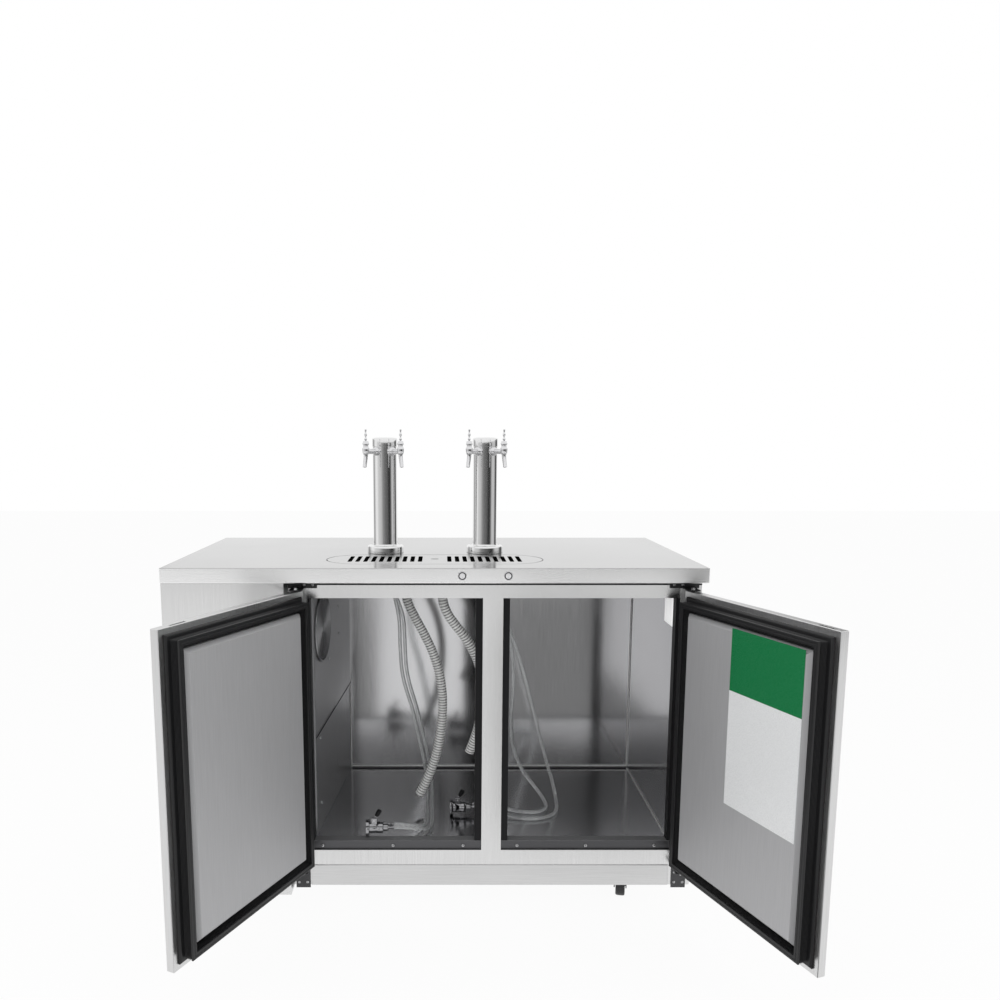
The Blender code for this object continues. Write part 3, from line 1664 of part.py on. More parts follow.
beer_line_routes = {
    "left_1": [
        (-0.132, 0.332, 0.9497),
        (-0.132, 0.332, 0.935),
        (-0.128, 0.333, 0.905),
        (-0.118, 0.335, 0.865),
        (-0.110, 0.336, 0.812),
        (-0.108, 0.337, 0.742),
        (-0.104, 0.338, 0.668),
        (-0.093, 0.338, 0.608),
        (-0.072, 0.338, 0.538),
        (-0.055, 0.338, 0.462),
        (-0.037, 0.338, 0.375),
        (-0.027, 0.337, 0.310),
        (-0.024, 0.321, 0.261),
        (-0.024, 0.284, 0.2355),
        (-0.025, 0.245, 0.2305),
        (-0.025, 0.213, 0.2305),
        (-0.026, 0.187, 0.2307),
        (-0.031, 0.161, 0.2325),
        (-0.043, 0.142, 0.2375),
        (-0.062, 0.129, 0.2435),
        (-0.084, 0.124, 0.2485),
        (-0.104, 0.124, 0.2503),
        (-0.1197, 0.124, 0.2503),
    ],
    "left_2": [
        (-0.132, 0.348, 0.9497),
        (-0.132, 0.348, 0.935),
        (-0.127, 0.349, 0.905),
        (-0.112, 0.350, 0.867),
        (-0.098, 0.350, 0.818),
        (-0.094, 0.350, 0.750),
        (-0.090, 0.351, 0.668),
        (-0.079, 0.351, 0.608),
        (-0.059, 0.351, 0.538),
        (-0.041, 0.351, 0.462),
        (-0.023, 0.351, 0.375),
        (-0.012, 0.350, 0.310),
        (-0.009, 0.334, 0.260),
        (-0.009, 0.296, 0.2350),
        (-0.009, 0.256, 0.2305),
        (-0.009, 0.222, 0.2305),
        (-0.009, 0.193, 0.2305),
        (-0.010, 0.168, 0.2308),
        (-0.015, 0.143, 0.2325),
        (-0.028, 0.123, 0.2370),
        (-0.049, 0.109, 0.2430),
        (-0.074, 0.104, 0.2480),
        (-0.104, 0.104, 0.2503),
        (-0.1197, 0.104, 0.2503),
    ],
    "right_1": [
        (0.168, 0.332, 0.9497),
        (0.168, 0.332, 0.935),
        (0.173, 0.333, 0.902),
        (0.194, 0.335, 0.855),
        (0.228, 0.338, 0.786),
        (0.258, 0.340, 0.705),
        (0.284, 0.340, 0.612),
        (0.308, 0.340, 0.525),
        (0.332, 0.341, 0.430),
        (0.356, 0.343, 0.342),
        (0.366, 0.343, 0.312),
        (0.372, 0.342, 0.287),
        (0.377, 0.335, 0.263),
        (0.380, 0.321, 0.245),
        (0.380, 0.301, 0.234),
        (0.377, 0.279, 0.2305),
        (0.369, 0.253, 0.2305),
        (0.353, 0.231, 0.2305),
        (0.329, 0.215, 0.2305),
        (0.300, 0.207, 0.2305),
        (0.268, 0.208, 0.2305),
        (0.236, 0.218, 0.2325),
        (0.204, 0.233, 0.2385),
        (0.172, 0.246, 0.2462),
        (0.141, 0.251, 0.2503),
        (0.1253, 0.251, 0.2503),
    ],
    "right_2": [
        (0.168, 0.348, 0.9497),
        (0.168, 0.348, 0.935),
        (0.173, 0.350, 0.902),
        (0.192, 0.354, 0.855),
        (0.222, 0.358, 0.785),
        (0.240, 0.360, 0.702),
        (0.244, 0.360, 0.610),
        (0.239, 0.360, 0.515),
        (0.243, 0.361, 0.425),
        (0.259, 0.362, 0.363),
        (0.281, 0.362, 0.318),
        (0.302, 0.3615, 0.289),
        (0.3195, 0.357, 0.2675),
        (0.334, 0.3465, 0.2505),
        (0.3435, 0.3295, 0.238),
        (0.3475, 0.308, 0.231),
        (0.344, 0.285, 0.2305),
        (0.332, 0.267, 0.2305),
        (0.313, 0.256, 0.2305),
        (0.290, 0.2545, 0.2305),
        (0.266, 0.259, 0.2305),
        (0.241, 0.265, 0.2318),
        (0.216, 0.268, 0.2362),
        (0.191, 0.270, 0.2422),
        (0.166, 0.271, 0.2477),
        (0.141, 0.271, 0.2503),
        (0.1253, 0.271, 0.2503),
    ],
}


def make_ribbed_hose(name, route):
    """A corrugated hose with its bore; its ends run straight for a diameter and slip over a spigot."""
    points, length = smooth_route(route, rib_pitch / 2)
    valley_share = 1 - hose_rib_height / hose_radius
    rib_shares = [1.0 if index % 2 else valley_share for index in range(len(points))]
    hose = as_mesh(tube(name, points, hose_radius, hose_plastic, shares=rib_shares))
    straight = 4
    stride = straight + 2
    last = len(points) - 1
    picked = [straight, *range(2 * straight, last + 1 - 2 * straight, stride), last - straight]
    start = points[0] + (points[0] - points[1]).normalized() * overrun
    end = points[last] + (points[last] - points[last - 1]).normalized() * overrun
    bore = as_mesh(tube(name + "_bore", [start, *(points[index] for index in picked), end], hose_bore))
    cut(hose, bore)
    print(f"{name}: {length:.3f} m, {len(points) // 2} ribs")
    return hose


def make_beer_line(name, route):
    points, length = smooth_route(route, line_step)
    print(f"{name}: {length:.3f} m")
    return tube(name, points, line_radius, clear_vinyl)


def make_coupler(number, place):
    """A keg coupler lying on the floor: probe flange, body, two hose barbs and its lever between cheeks."""
    height = liner_floor + touch_gap + coupler_flange_radius
    mount = empty(f"coupler_mount_{number}", (place[0], place[1], height))
    flange_end = coupler_flange_x + coupler_flange_thickness
    probe_radius = coupler_body_radius * probe_share
    outline = [
        (0, coupler_barb_end),
        (coupler_barb_radius, coupler_barb_end),
        (coupler_barb_radius, coupler_neck_end),
        (coupler_neck_radius, coupler_neck_end),
        (coupler_neck_radius, coupler_neck_start),
        (coupler_body_radius, coupler_neck_start - sheet),
        (coupler_body_radius, flange_end + sheet),
        (coupler_flange_radius, flange_end),
        (coupler_flange_radius, coupler_flange_x),
        (probe_radius, coupler_flange_x),
        (probe_radius, coupler_flange_x - sheet),
        (0, coupler_flange_x - sheet),
    ]
    body = turned(f"keg_coupler_{number}", outline, chrome, (0, 0, 0), mount, small_sides, "X")
    port_place = (coupler_barb_end / 2, coupler_port_offset, 0)
    port = drum("gas_port", coupler_barb_radius, coupler_barb_end, port_place, "X", None, mount, few_sides)
    elbow_radius = coupler_barb_radius * elbow_share
    elbow_place = (0, coupler_port_offset / 2 + coupler_barb_radius, 0)
    elbow = drum("gas_elbow", elbow_radius, coupler_port_offset, elbow_place, "Y", None, mount, few_sides)
    yoke_top = coupler_body_radius + coupler_yoke_height
    half_yoke = coupler_yoke_length / 2
    yoke = box(
        "yoke",
        (-coupler_yoke_length - half_yoke, -coupler_yoke_half_width, coupler_body_radius * yoke_root_share),
        (-half_yoke, coupler_yoke_half_width, yoke_top),
        parent=mount,
    )
    fuse(body, port, elbow, yoke)
    cut_box(
        body,
        (-2 * coupler_yoke_length, -coupler_slot_half_width, coupler_body_radius + sheet / 2),
        (0, coupler_slot_half_width, yoke_top + overrun),
        mount,
    )
    pivot_place = (-coupler_yoke_length, 0, yoke_top - coupler_yoke_height / 2)
    pin_bore = bore_radius(coupler_pin_radius, running_gap, few_sides)
    bore_length = 4 * coupler_yoke_half_width
    cut(body, drum("pivot_bore", pin_bore, bore_length, pivot_place, "Y", None, mount, few_sides))
    pivot = empty(f"coupler_pivot_{number}", pivot_place, parent=mount)
    pivot.rotation_euler = (0, coupler_lever_lean, 0)
    make_coupler_lever(f"coupler_lever_{number}", pivot)


def make_coupler_lever(name, pivot):
    """A coupler's short handle on its pin, with a tapered grip."""
    hub_radius = coupler_yoke_height / 2 - sheet
    half_width = hub_radius * lever_arm_shares[0]
    half_depth = coupler_lever_thickness / 2 * lever_arm_shares[1]
    centre = (0, 0, 0)
    lever = drum(name, hub_radius, coupler_lever_thickness, centre, "Y", black_plastic, pivot, small_sides)
    pin_length = 2 * coupler_yoke_half_width
    pin = drum("lever_pin", coupler_pin_radius, pin_length, centre, "Y", None, pivot, few_sides)
    low = (-half_width, -half_depth, 0)
    arm = box("lever_arm", low, (half_width, half_depth, coupler_lever_length), parent=pivot)
    grip = drum(
        "lever_grip",
        coupler_grip_radius,
        coupler_grip_length,
        (0, 0, coupler_lever_length),
        parent=pivot,
        sides=few_sides,
        end_radius=coupler_grip_radius * grip_taper_share,
    )
    fuse(lever, pin, arm, grip)


def make_all():
    fan_x = evaporator_face_x(fan_depth)
    tilt = math.atan2(evaporator_back_depth - evaporator_front_depth, liner_back - evaporator_front)
    make_worktop()
    make_casing()
    make_liner()
    make_face_frame()
    make_breaker_frame()
    make_kick_panel()
    make_machine_housing()
    make_machine_front_panel()
    guard_mount = empty("fan_guard_mount", (fan_x, fan_depth, fan_height), -tilt)
    make_evaporator_cover(guard_mount)
    make_fan_guard(guard_mount)
    fan_centre_x = liner_left - pocket_depth + touch_gap + motor_depth + 2 * touch_gap + fan_hub_depth / 2
    fan_axis = empty("evaporator_fan_axis", (fan_centre_x, fan_depth, fan_height))
    make_fan("evaporator_fan", fan_blade_radius, fan_axis)
    make_evaporator_coil(fan_centre_x)
    make_compressor()
    make_condenser()
    axis_place = (bay_middle, condenser_fan_y(), condenser_height_at_centre())
    condenser_axis = empty("condenser_fan_axis", axis_place, -math.pi / 2)
    make_fan("condenser_fan", condenser_fan_radius, condenser_axis)
    make_lamp_housing()
    make_drip_tray()
    make_drip_grate()
    for side_name, x in (("left", -tower_x), ("right", tower_x)):
        make_tower(side_name, x)
        for way in (-1, 1):
            make_faucet(side_name, x, way)
    make_lock("left", lock_left_x)
    make_lock("right", lock_right_x)
    make_door("left", left_pivot_x, 1, left_open_angle, lock_left_x)
    make_door("right", right_pivot_x, -1, right_open_angle, lock_right_x)
    make_hinges("left", left_pivot_x, 1)
    make_hinges("right", right_pivot_x, -1)
    for place in caster_places():
        make_caster(place)
    make_ribbed_hose("air_hose", air_hose_route)
    make_ribbed_hose("drain_hose", drain_hose_route)
    for name, route in beer_line_routes.items():
        make_beer_line("beer_line_" + name, route)
    make_coupler(1, coupler_one_place)
    make_coupler(2, coupler_two_place)


def set_origin():
    """Carry everything on one empty that puts the middle of the cabinet's underside at the origin."""
    frame = bpy.data.objects.new("part_frame", None)
    frame.location = (0, -cabinet_middle_depth, -underside)
    assembly.objects.link(frame)
    for made in list(bpy.data.objects):
        if made.parent is None and made is not frame:
            made.parent = frame


make_all()
set_origin()
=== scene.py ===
"""The kegerator's looks: finishes, fine round pieces, hoses, beer lines and small fittings."""

import json
import math

import bmesh
import bpy
from mathutils import Matrix, Vector


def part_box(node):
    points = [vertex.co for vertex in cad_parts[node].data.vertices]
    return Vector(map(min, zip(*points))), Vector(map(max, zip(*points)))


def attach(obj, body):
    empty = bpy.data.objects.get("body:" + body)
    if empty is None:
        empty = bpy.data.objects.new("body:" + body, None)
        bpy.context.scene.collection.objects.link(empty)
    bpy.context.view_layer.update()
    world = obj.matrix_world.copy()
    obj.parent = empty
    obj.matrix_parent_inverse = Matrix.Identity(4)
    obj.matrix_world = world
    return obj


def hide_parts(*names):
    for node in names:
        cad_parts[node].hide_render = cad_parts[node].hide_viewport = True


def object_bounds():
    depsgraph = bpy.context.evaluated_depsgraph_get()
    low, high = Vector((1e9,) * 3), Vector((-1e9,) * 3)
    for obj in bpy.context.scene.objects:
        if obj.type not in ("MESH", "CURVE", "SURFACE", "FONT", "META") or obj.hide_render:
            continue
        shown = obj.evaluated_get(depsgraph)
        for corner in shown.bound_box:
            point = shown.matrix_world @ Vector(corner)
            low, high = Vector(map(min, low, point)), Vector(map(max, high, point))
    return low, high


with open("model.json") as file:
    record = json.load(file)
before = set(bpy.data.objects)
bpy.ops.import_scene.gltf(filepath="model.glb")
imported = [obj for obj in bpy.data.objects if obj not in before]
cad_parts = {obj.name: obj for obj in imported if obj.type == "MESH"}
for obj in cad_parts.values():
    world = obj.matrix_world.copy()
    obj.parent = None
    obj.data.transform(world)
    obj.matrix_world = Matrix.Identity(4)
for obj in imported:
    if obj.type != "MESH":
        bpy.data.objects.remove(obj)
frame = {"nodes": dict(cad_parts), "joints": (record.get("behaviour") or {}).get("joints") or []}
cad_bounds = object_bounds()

# Places below are written with X from the cabinet's centre, Y back from the worktop's front edge
# and Z up from the floor; at() turns them into the frame's own coordinates.
worktop_low, worktop_high = (Vector(corner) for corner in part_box("worktop"))
front_y = worktop_low.y
floor_z = cad_bounds[0][2]
worktop_top = worktop_high.z - floor_z


def at(x, y, z):
    return Vector((x, front_y + y, floor_z + z))


def mm(*points):
    """Points given in millimetres, in metres."""
    return [tuple(value / 1000 for value in point) for point in points]


scene = bpy.context.scene
nodes = frame["nodes"]
joints = {joint["name"]: joint for joint in frame["joints"]}


# Camera

camera_x = 0.0131
camera_distance = 2.327
camera_above_top = 0.3353
camera_pitch = math.radians(8.68)
focal_pixels = 884
image_pixels = 1000
principal_x = 439.4
principal_y = 575.6
sensor = 36
camera_reach = 30


def make_camera():
    data = bpy.data.cameras.new("camera")
    data.sensor_width = sensor
    data.lens = focal_pixels / image_pixels * sensor
    data.shift_x = (image_pixels / 2 - principal_x) / image_pixels
    data.shift_y = (principal_y - image_pixels / 2) / image_pixels
    data.clip_end = camera_reach
    camera = bpy.data.objects.new("camera", data)
    camera.location = at(camera_x, -camera_distance, worktop_top + camera_above_top)
    camera.rotation_euler = (math.pi / 2 - camera_pitch, 0, 0)
    scene.collection.objects.link(camera)
    scene.camera = camera


# Mesh tools

weld_distance = 0.000001
smooth_below = 40


def add(name, mesh, material=None, smooth_angle=None):
    made = bpy.data.objects.new(name, mesh)
    scene.collection.objects.link(made)
    if material:
        mesh.materials.append(material)
    if smooth_angle is not None:
        mesh.shade_smooth()
        mesh.set_sharp_from_angle(angle=math.radians(smooth_angle))
    return made


def mesh_from(name, points, faces):
    mesh = bpy.data.meshes.new(name)
    mesh.from_pydata([tuple(point) for point in points], [], faces)
    shape = bmesh.new()
    shape.from_mesh(mesh)
    bmesh.ops.recalc_face_normals(shape, faces=shape.faces)
    shape.to_mesh(mesh)
    shape.free()
    return mesh


def welded(mesh, distance):
    """Join the mesh's points that lie closer than a distance."""
    shape = bmesh.new()
    shape.from_mesh(mesh)
    bmesh.ops.remove_doubles(shape, verts=shape.verts, dist=distance)
    shape.to_mesh(mesh)
    shape.free()


def applied(piece):
    """A new mesh of the piece with its modifiers carried out."""
    bpy.context.view_layer.update()
    shown = piece.evaluated_get(bpy.context.evaluated_depsgraph_get())
    return bpy.data.meshes.new_from_object(shown)


def ring_faces(rows, sides, looped, capped=()):
    """Faces between rows of points, each a closed ring, and over the capped ones."""
    faces = []
    for row in range(rows if looped else rows - 1):
        low, high = row * sides, (row + 1) % rows * sides
        for index in range(sides):
            after = (index + 1) % sides
            faces.append((low + index, low + after, high + after, high + index))
    return faces + [tuple(range(row * sides, (row + 1) * sides)) for row in capped]


def rounded(profile, radius, count):
    """A closed outline with each corner rounded as far as its sides allow."""
    found = []
    size = len(profile)
    share_of_side = 0.45
    for index, corner in enumerate(profile):
        here = Vector(corner)
        before = Vector(profile[index - 1])
        after = Vector(profile[(index + 1) % size])
        shorter = min((before - here).length, (after - here).length)
        reach = min(radius, shorter * share_of_side)
        start = here + (before - here).normalized() * reach
        end = here + (after - here).normalized() * reach
        for step in range(count + 1):
            share = step / count
            point = start * (1 - share) ** 2 + here * 2 * share * (1 - share) + end * share**2
            found.append(tuple(point))
    return found


def spun(name, profile, matrix, made, sides=48, ring=False, smooth_angle=smooth_below):
    """A (radius, height) outline turned about the matrix's Z, closed on itself where a ring."""
    points = []
    for radius, height in profile:
        for spot in circle(radius, sides):
            points.append(matrix @ Vector((*spot, height)))
    ends = [row for row in (0, len(profile) - 1) if profile[row][0] > 0 and not ring]
    mesh = mesh_from(name, points, ring_faces(len(profile), sides, ring, ends))
    if not ring:
        welded(mesh, weld_distance)
    return add(name, mesh, made, smooth_angle)


def evened(piece):
    """Keep flat faces flat beside their rounded edges."""
    modifier = piece.modifiers.new("normals", "WEIGHTED_NORMAL")
    modifier.keep_sharp = True
    modifier.weight = 100
    mesh = applied(piece)
    piece.modifiers.clear()
    piece.data = mesh
    return piece


def slab(name, low, high, edge, material, segments=3, matrix=None):
    """A block with rounded edges between two corners."""
    low, high = Vector(low), Vector(high)
    size, centre = high - low, (low + high) / 2
    shape = bmesh.new()
    place = Matrix.Translation(centre) @ Matrix.Diagonal((*size, 1))
    bmesh.ops.create_cube(shape, size=1, matrix=place)
    if edge:
        bmesh.ops.bevel(
            shape, geom=shape.edges[:], offset=edge, segments=segments, profile=0.5,
            affect="EDGES", clamp_overlap=True,
        )
    mesh = bpy.data.meshes.new(name)
    if matrix:
        bmesh.ops.transform(shape, matrix=matrix, verts=shape.verts)
    shape.to_mesh(mesh)
    shape.free()
    made = add(name, mesh, material, smooth_below)
    return evened(made) if edge else made


def frames_along(path):
    """A steady pair of side directions at each point of a path."""
    tangents = []
    for index in range(len(path)):
        before, after = path[max(index - 1, 0)], path[min(index + 1, len(path) - 1)]
        tangents.append((after - before).normalized())
    side = tangents[0].orthogonal().normalized()
    found = []
    for tangent in tangents:
        side = (side - tangent * side.dot(tangent)).normalized()
        found.append((side, tangent.cross(side)))
    return found


def sweep(name, path, radii, material, sides=16, bore=0.0, smooth_angle=50):
    """A tube along a path with a radius for each point, open along a bore where one is given."""
    rows = list(zip(path, frames_along(path), radii))
    if bore:
        rows += [(point, pair, bore) for point, pair, radius in reversed(rows)]
    points = []
    for point, (across, up), radius in rows:
        for cosine, sine in circle(1, sides):
            points.append(point + (across * cosine + up * sine) * radius)
    ends = () if bore else (0, len(rows) - 1)
    faces = ring_faces(len(rows), sides, bool(bore), ends)
    return add(name, mesh_from(name, points, faces), material, smooth_angle)


def joined(name, pieces):
    """One object out of several, in the place of the first."""
    first = pieces[0]
    shape = bmesh.new()
    materials = []
    for piece in pieces:
        material = piece.data.materials[0]
        if material not in materials:
            materials.append(material)
        start = len(shape.faces)
        piece.data.transform(piece.matrix_world)
        shape.from_mesh(piece.data)
        shape.faces.ensure_lookup_table()
        for face in shape.faces[start:]:
            face.material_index = materials.index(material)
    mesh = bpy.data.meshes.new(name)
    shape.to_mesh(mesh)
    shape.free()
    for material in materials:
        mesh.materials.append(material)
    for piece in pieces:
        bpy.data.objects.remove(piece)
    return add(name, mesh)


def plate(name, outlines, thickness, edge, place, material):
    """A flat plate on its mid-plane from outlines, the inner ones holes, with a rounded edge."""
    curve = bpy.data.curves.new(name, "CURVE")
    curve.dimensions = "2D"
    curve.fill_mode = "BOTH"
    curve.extrude = thickness / 2 - edge
    curve.bevel_depth = edge
    curve.bevel_resolution = 1
    curve.offset = -edge
    for outline in outlines:
        spline = curve.splines.new("POLY")
        spline.points.add(len(outline) - 1)
        spline.use_cyclic_u = True
        for index, point in enumerate(outline):
            spline.points[index].co = (*point, 0, 1)
    holder = bpy.data.objects.new(name, curve)
    holder.location = place
    scene.collection.objects.link(holder)
    mesh = applied(holder)
    mesh.transform(holder.matrix_world)
    bpy.data.objects.remove(holder)
    welded(mesh, 2 * weld_distance)
    mesh.materials.clear()
    made = add(name, mesh, material, smooth_below)
    return evened(made) if edge else made


def arc(centre, radius, start, end, count):
    found = []
    for index in range(count + 1):
        angle = start + (end - start) * index / count
        found.append((centre[0] + radius * math.cos(angle), centre[1] + radius * math.sin(angle)))
    return found


def circle(radius, sides, centre=(0, 0)):
    return arc(centre, radius, 0, 2 * math.pi, sides)[:-1]


def stadium(half_length, half_width, count, centre=(0, 0)):
    reach = half_length - half_width
    right = arc((centre[0] + reach, centre[1]), half_width, -math.pi / 2, math.pi / 2, count)
    left = arc((centre[0] - reach, centre[1]), half_width, math.pi / 2, 3 * math.pi / 2, count)
    return right + left


# Materials

# The span of a noise's values that is spread over a range
noise_low = 0.3
noise_high = 0.7
grain_scale = 900
grain_stretch = 0.012
grain_depth = 0.00008
sheen_scale = 2.4
speckle_depth = 0.0001


def grey(tone, blue=None):
    return (tone, tone, tone if blue is None else blue)


def shader_of(made):
    return made.node_tree.nodes["Principled BSDF"]


def material(name, color, roughness, metallic=0.0, **sockets):
    made = bpy.data.materials.new(name)
    made.use_nodes = True
    shader = shader_of(made)
    shader.inputs["Base Color"].default_value = (*color, 1)
    shader.inputs["Roughness"].default_value = roughness
    shader.inputs["Metallic"].default_value = metallic
    for socket, value in sockets.items():
        shader.inputs[socket.replace("_", " ")].default_value = value
    return made


def link(made, source, output, target, socket):
    made.node_tree.links.new(source.outputs[output], target.inputs[socket])


def new_node(made, kind, inputs={}, **values):
    node = made.node_tree.nodes.new(kind)
    for key, value in values.items():
        setattr(node, key, value)
    for socket, value in inputs.items():
        node.inputs[socket].default_value = value
    return node


def noise_at(made, scale, stretch, detail):
    """Noise read from the piece's own coordinates, stretched along its grain."""
    place = new_node(made, "ShaderNodeTexCoord")
    mapping = new_node(made, "ShaderNodeMapping", {"Scale": stretch})
    noise = new_node(made, "ShaderNodeTexNoise", {"Scale": scale, "Detail": detail})
    link(made, place, "Object", mapping, "Vector")
    link(made, mapping, "Vector", noise, "Vector")
    return noise


def ranged(made, noise, low, high):
    """A map of a noise onto a range."""
    limits = {"From Min": noise_low, "From Max": noise_high, "To Min": low, "To Max": high}
    node = new_node(made, "ShaderNodeMapRange", limits)
    link(made, noise, "Fac", node, "Value")
    return node


def tinted(made, noise, color, darkest, lightest):
    """Vary the colour between a darker and a lighter share of itself."""
    ramp = new_node(made, "ShaderNodeValToRGB")
    ends = ((noise_low, darkest), (noise_high, lightest))
    for stop, (position, share) in zip(ramp.color_ramp.elements, ends):
        stop.position = position
        stop.color = (*(min(channel * share, 1) for channel in color), 1)
    link(made, noise, "Fac", ramp, "Fac")
    link(made, ramp, "Color", shader_of(made), "Base Color")


def bumped(made, noise, strength, distance):
    bump = new_node(made, "ShaderNodeBump", {"Strength": strength, "Distance": distance})
    link(made, noise, "Fac", bump, "Height")
    link(made, bump, "Normal", shader_of(made), "Normal")


def brushed(name, color, roughness, grain_axis, spread=0.05, bump=0.12, metallic=1.0):
    """Brushed stainless steel: fine long scratches along one axis, and a slow change of sheen."""
    made = material(name, color, roughness, metallic)
    stretch = [1.0, 1.0, 1.0]
    stretch[grain_axis] = grain_stretch
    grain = noise_at(made, grain_scale, stretch, 3)
    slow = noise_at(made, sheen_scale, (1, 1, 1), 2)
    sheen = ranged(made, slow, roughness - spread * 0.5, roughness + spread)
    scratch = ranged(made, grain, -spread * 0.6, spread * 0.9)
    both = new_node(made, "ShaderNodeMath", operation="ADD")
    link(made, sheen, "Result", both, 0)
    link(made, scratch, "Result", both, 1)
    link(made, both, "Value", shader_of(made), "Roughness")
    tinted(made, grain, color, 0.93, 1.05)
    bumped(made, grain, bump, grain_depth)
    return made


def speckled(name, color, roughness, scale, bump=0.15, metallic=0.0, **sockets):
    """A moulded or painted surface with a fine even texture."""
    made = material(name, color, roughness, metallic, **sockets)
    fine = noise_at(made, scale, (1, 1, 1), 3)
    tinted(made, fine, color, 0.88, 1.12)
    rough = ranged(made, fine, roughness * 0.85, roughness * 1.15)
    link(made, rough, "Result", shader_of(made), "Roughness")
    bumped(made, fine, bump, speckle_depth)
    return made


steel_top = brushed("steel_brushed_across", grey(0.47), 0.15, 0, 0.03, 0.03)
# A near-white copy of the worktop's steel for its upright rim faces: painted light.
fascia_steel_painted_light = brushed("steel_fascia_painted_light", grey(0.95), 0.24, 0, 0.03, 0.03)
# Near-black steel for the drip tray and its drain pipe: painted shade where the tray lies under the
# grate.
tray_steel_painted_shade = brushed("tray_steel_painted_shade", grey(0.06), 0.40, 0)
steel_z = brushed("steel_brushed_up", grey(0.70), 0.30, 2)
steel_panel = brushed("steel_front_panel", grey(0.72), 0.20, 2, 0.04)
kick_steel = brushed("steel_kick_panel", grey(0.69), 0.34, 0)
liner_z = brushed("liner_brushed_up", grey(0.58, 0.59), 0.12, 2, 0.03, 0.03)
door_liner = brushed("door_liner_brushed_up", grey(0.50, 0.51), 0.48, 2, 0.05, metallic=0.35)
tower_steel = brushed("tower_steel", grey(0.80), 0.10, 2, 0.03, 0.015)
cover_steel = brushed("cover_brushed_up", grey(0.40, 0.41), 0.32, 2, 0.06, metallic=0.8)
# Dark copies of the steel for the threshold strips and the cove at the back of the liner's floor:
# painted shade low in the keg space.
painted_shade_steel = brushed("painted_shade_steel", grey(0.11, 0.115), 0.34, 0, 0.05)
painted_shade_threshold_top = brushed("painted_shade_threshold_top", grey(0.20, 0.205), 0.40, 0, 0.05, metallic=0.25)
# Near white for the strips on the liner's corners and seams: painted highlights.
painted_highlight_strip = speckled("seam_painted_highlight", grey(0.90), 0.35, 500, 0.03)
guard_wire = brushed("guard_wire", grey(0.44, 0.45), 0.42, 2, 0.03, 0.03)
guard_rim = brushed("guard_rim", grey(0.42, 0.43), 0.36, 2, 0.03, 0.03)
# A darker copy of the polished steel for the couplers and their handles: painted shade low in the
# keg space.
coupler_steel_painted_shade = brushed("coupler_steel_painted_shade", grey(0.34, 0.35), 0.12, 2, 0.04, 0.04)
polished = brushed("polished_steel", grey(0.74, 0.75), 0.12, 2, 0.03, 0.03)
bolt_steel = speckled("bolt_steel", grey(0.55, 0.56), 0.28, 400, 0.05, 1.0)
black_trim = speckled("black_trim", grey(0.007, 0.008), 0.46, 600, 0.10, Specular_IOR_Level=0.22)
black_rubber = speckled("black_rubber", grey(0.012, 0.013), 0.46, 500, 0.14,
                        Specular_IOR_Level=0.42)
bracket_paint = speckled("bracket_paint", grey(0.05, 0.053), 0.40, 700, 0.08)
black_paint = speckled("black_paint", grey(0.016, 0.018), 0.36, 700, 0.08)
wheel_rubber = speckled("wheel_rubber", grey(0.022, 0.024), 0.48, 500, 0.12)
wheel_disc = speckled("wheel_disc", grey(0.20, 0.21), 0.42, 500, 0.08)
hose_plastic = speckled("hose_plastic", grey(0.86, 0.85), 0.30, 300, 0.05)
# Dark grey for the hoses' grooves and bores: painted shade.
hose_painted_shade = speckled("hose_grooves_painted_shade", grey(0.20), 0.45, 300, 0.05)
line_vinyl = speckled("line_vinyl", (0.88, 0.90, 0.90), 0.10, 80, 0.02, Transmission_Weight=0.86)
coil_fins = brushed("coil_fins", (0.58, 0.59, 0.60), 0.34, 2)
label_white = speckled("label_white", (0.88, 0.89, 0.90), 0.28, 900, 0.03)
label_green = speckled("label_green", (0.010, 0.20, 0.065), 0.28, 900, 0.03)
fan_grey = speckled("fan_grey", grey(0.30, 0.305), 0.50, 500, 0.06)
lamp_lens = speckled("lamp_lens", grey(0.92, 0.91), 0.30, 500, 0.04, Emission_Strength=0.45,
                     Emission_Color=(1, 1, 1, 1))
# Near black for the cut faces of slots, bores, pockets and the keyway, the lock's groove ring, the
# spout's mouth and the line under the cover's edge: painted shade.
painted_shade_inside = speckled("painted_shade_inside", grey(0.010, 0.011), 0.6, 300, 0.05)


# Stage and light

floor_size = 30
floor_glow = 0.94
floor_drop = 0.0006
world_light = 0.60
wall_radius = 2.0
wall_low = 0.86
wall_high = 1.62
wall_open = math.radians(140)
wall_sides = 96
# Brightness of the studio's side walls by the compass, as (degrees, brightness), from behind on
# the left round by the front to behind on the right
wall_tones = (
    (-140, 0.95), (-126, 0.35), (-112, 0.45), (-96, 0.92), (-82, 1.0), (-64, 0.72), (-38, 0.58),
    (-20, 0.28), (0, 0.17), (20, 0.12), (38, 0.03), (52, 0.08), (70, 0.62), (92, 0.62),
    (108, 0.06), (124, 0.10), (140, 0.95),
)

# Name, place, the place that it shines at, width and height, and power of each lamp
lamps = (
    ("key_light", (-1.6, -3.2, 2.6), (0, 0.2, 0.7), (1.8, 1.8), 34),
    ("fill_light", (2.4, -2.6, 2.0), (0, 0.2, 0.7), (1.4, 2.0), 18),
    ("top_light", (0, 0.4, 3.4), (0, 0.3, 1.0), (3.0, 2.0), 26),
)

# Low dark screens before the doors: the spans of the lining's back that mirror them, by X
flag_spans = ((-0.302, -0.199), (0.190, 0.586))
flag_near = -0.50
flag_far = -1.62
flag_high = 0.56
flag_tone = 0.28
flag_floor = 0.001
liner_back = 0.650


def white_for_rays(made):
    """One where a ray is seen by the camera, in a gloss or through glass, and nought elsewhere."""
    path = new_node(made, "ShaderNodeLightPath")
    total, output = path, "Is Camera Ray"
    for name in ("Is Glossy Ray", "Is Transmission Ray"):
        added = new_node(made, "ShaderNodeMath", operation="ADD", use_clamp=True)
        link(made, total, output, added, 0)
        link(made, path, name, added, 1)
        total, output = added, "Value"
    return total


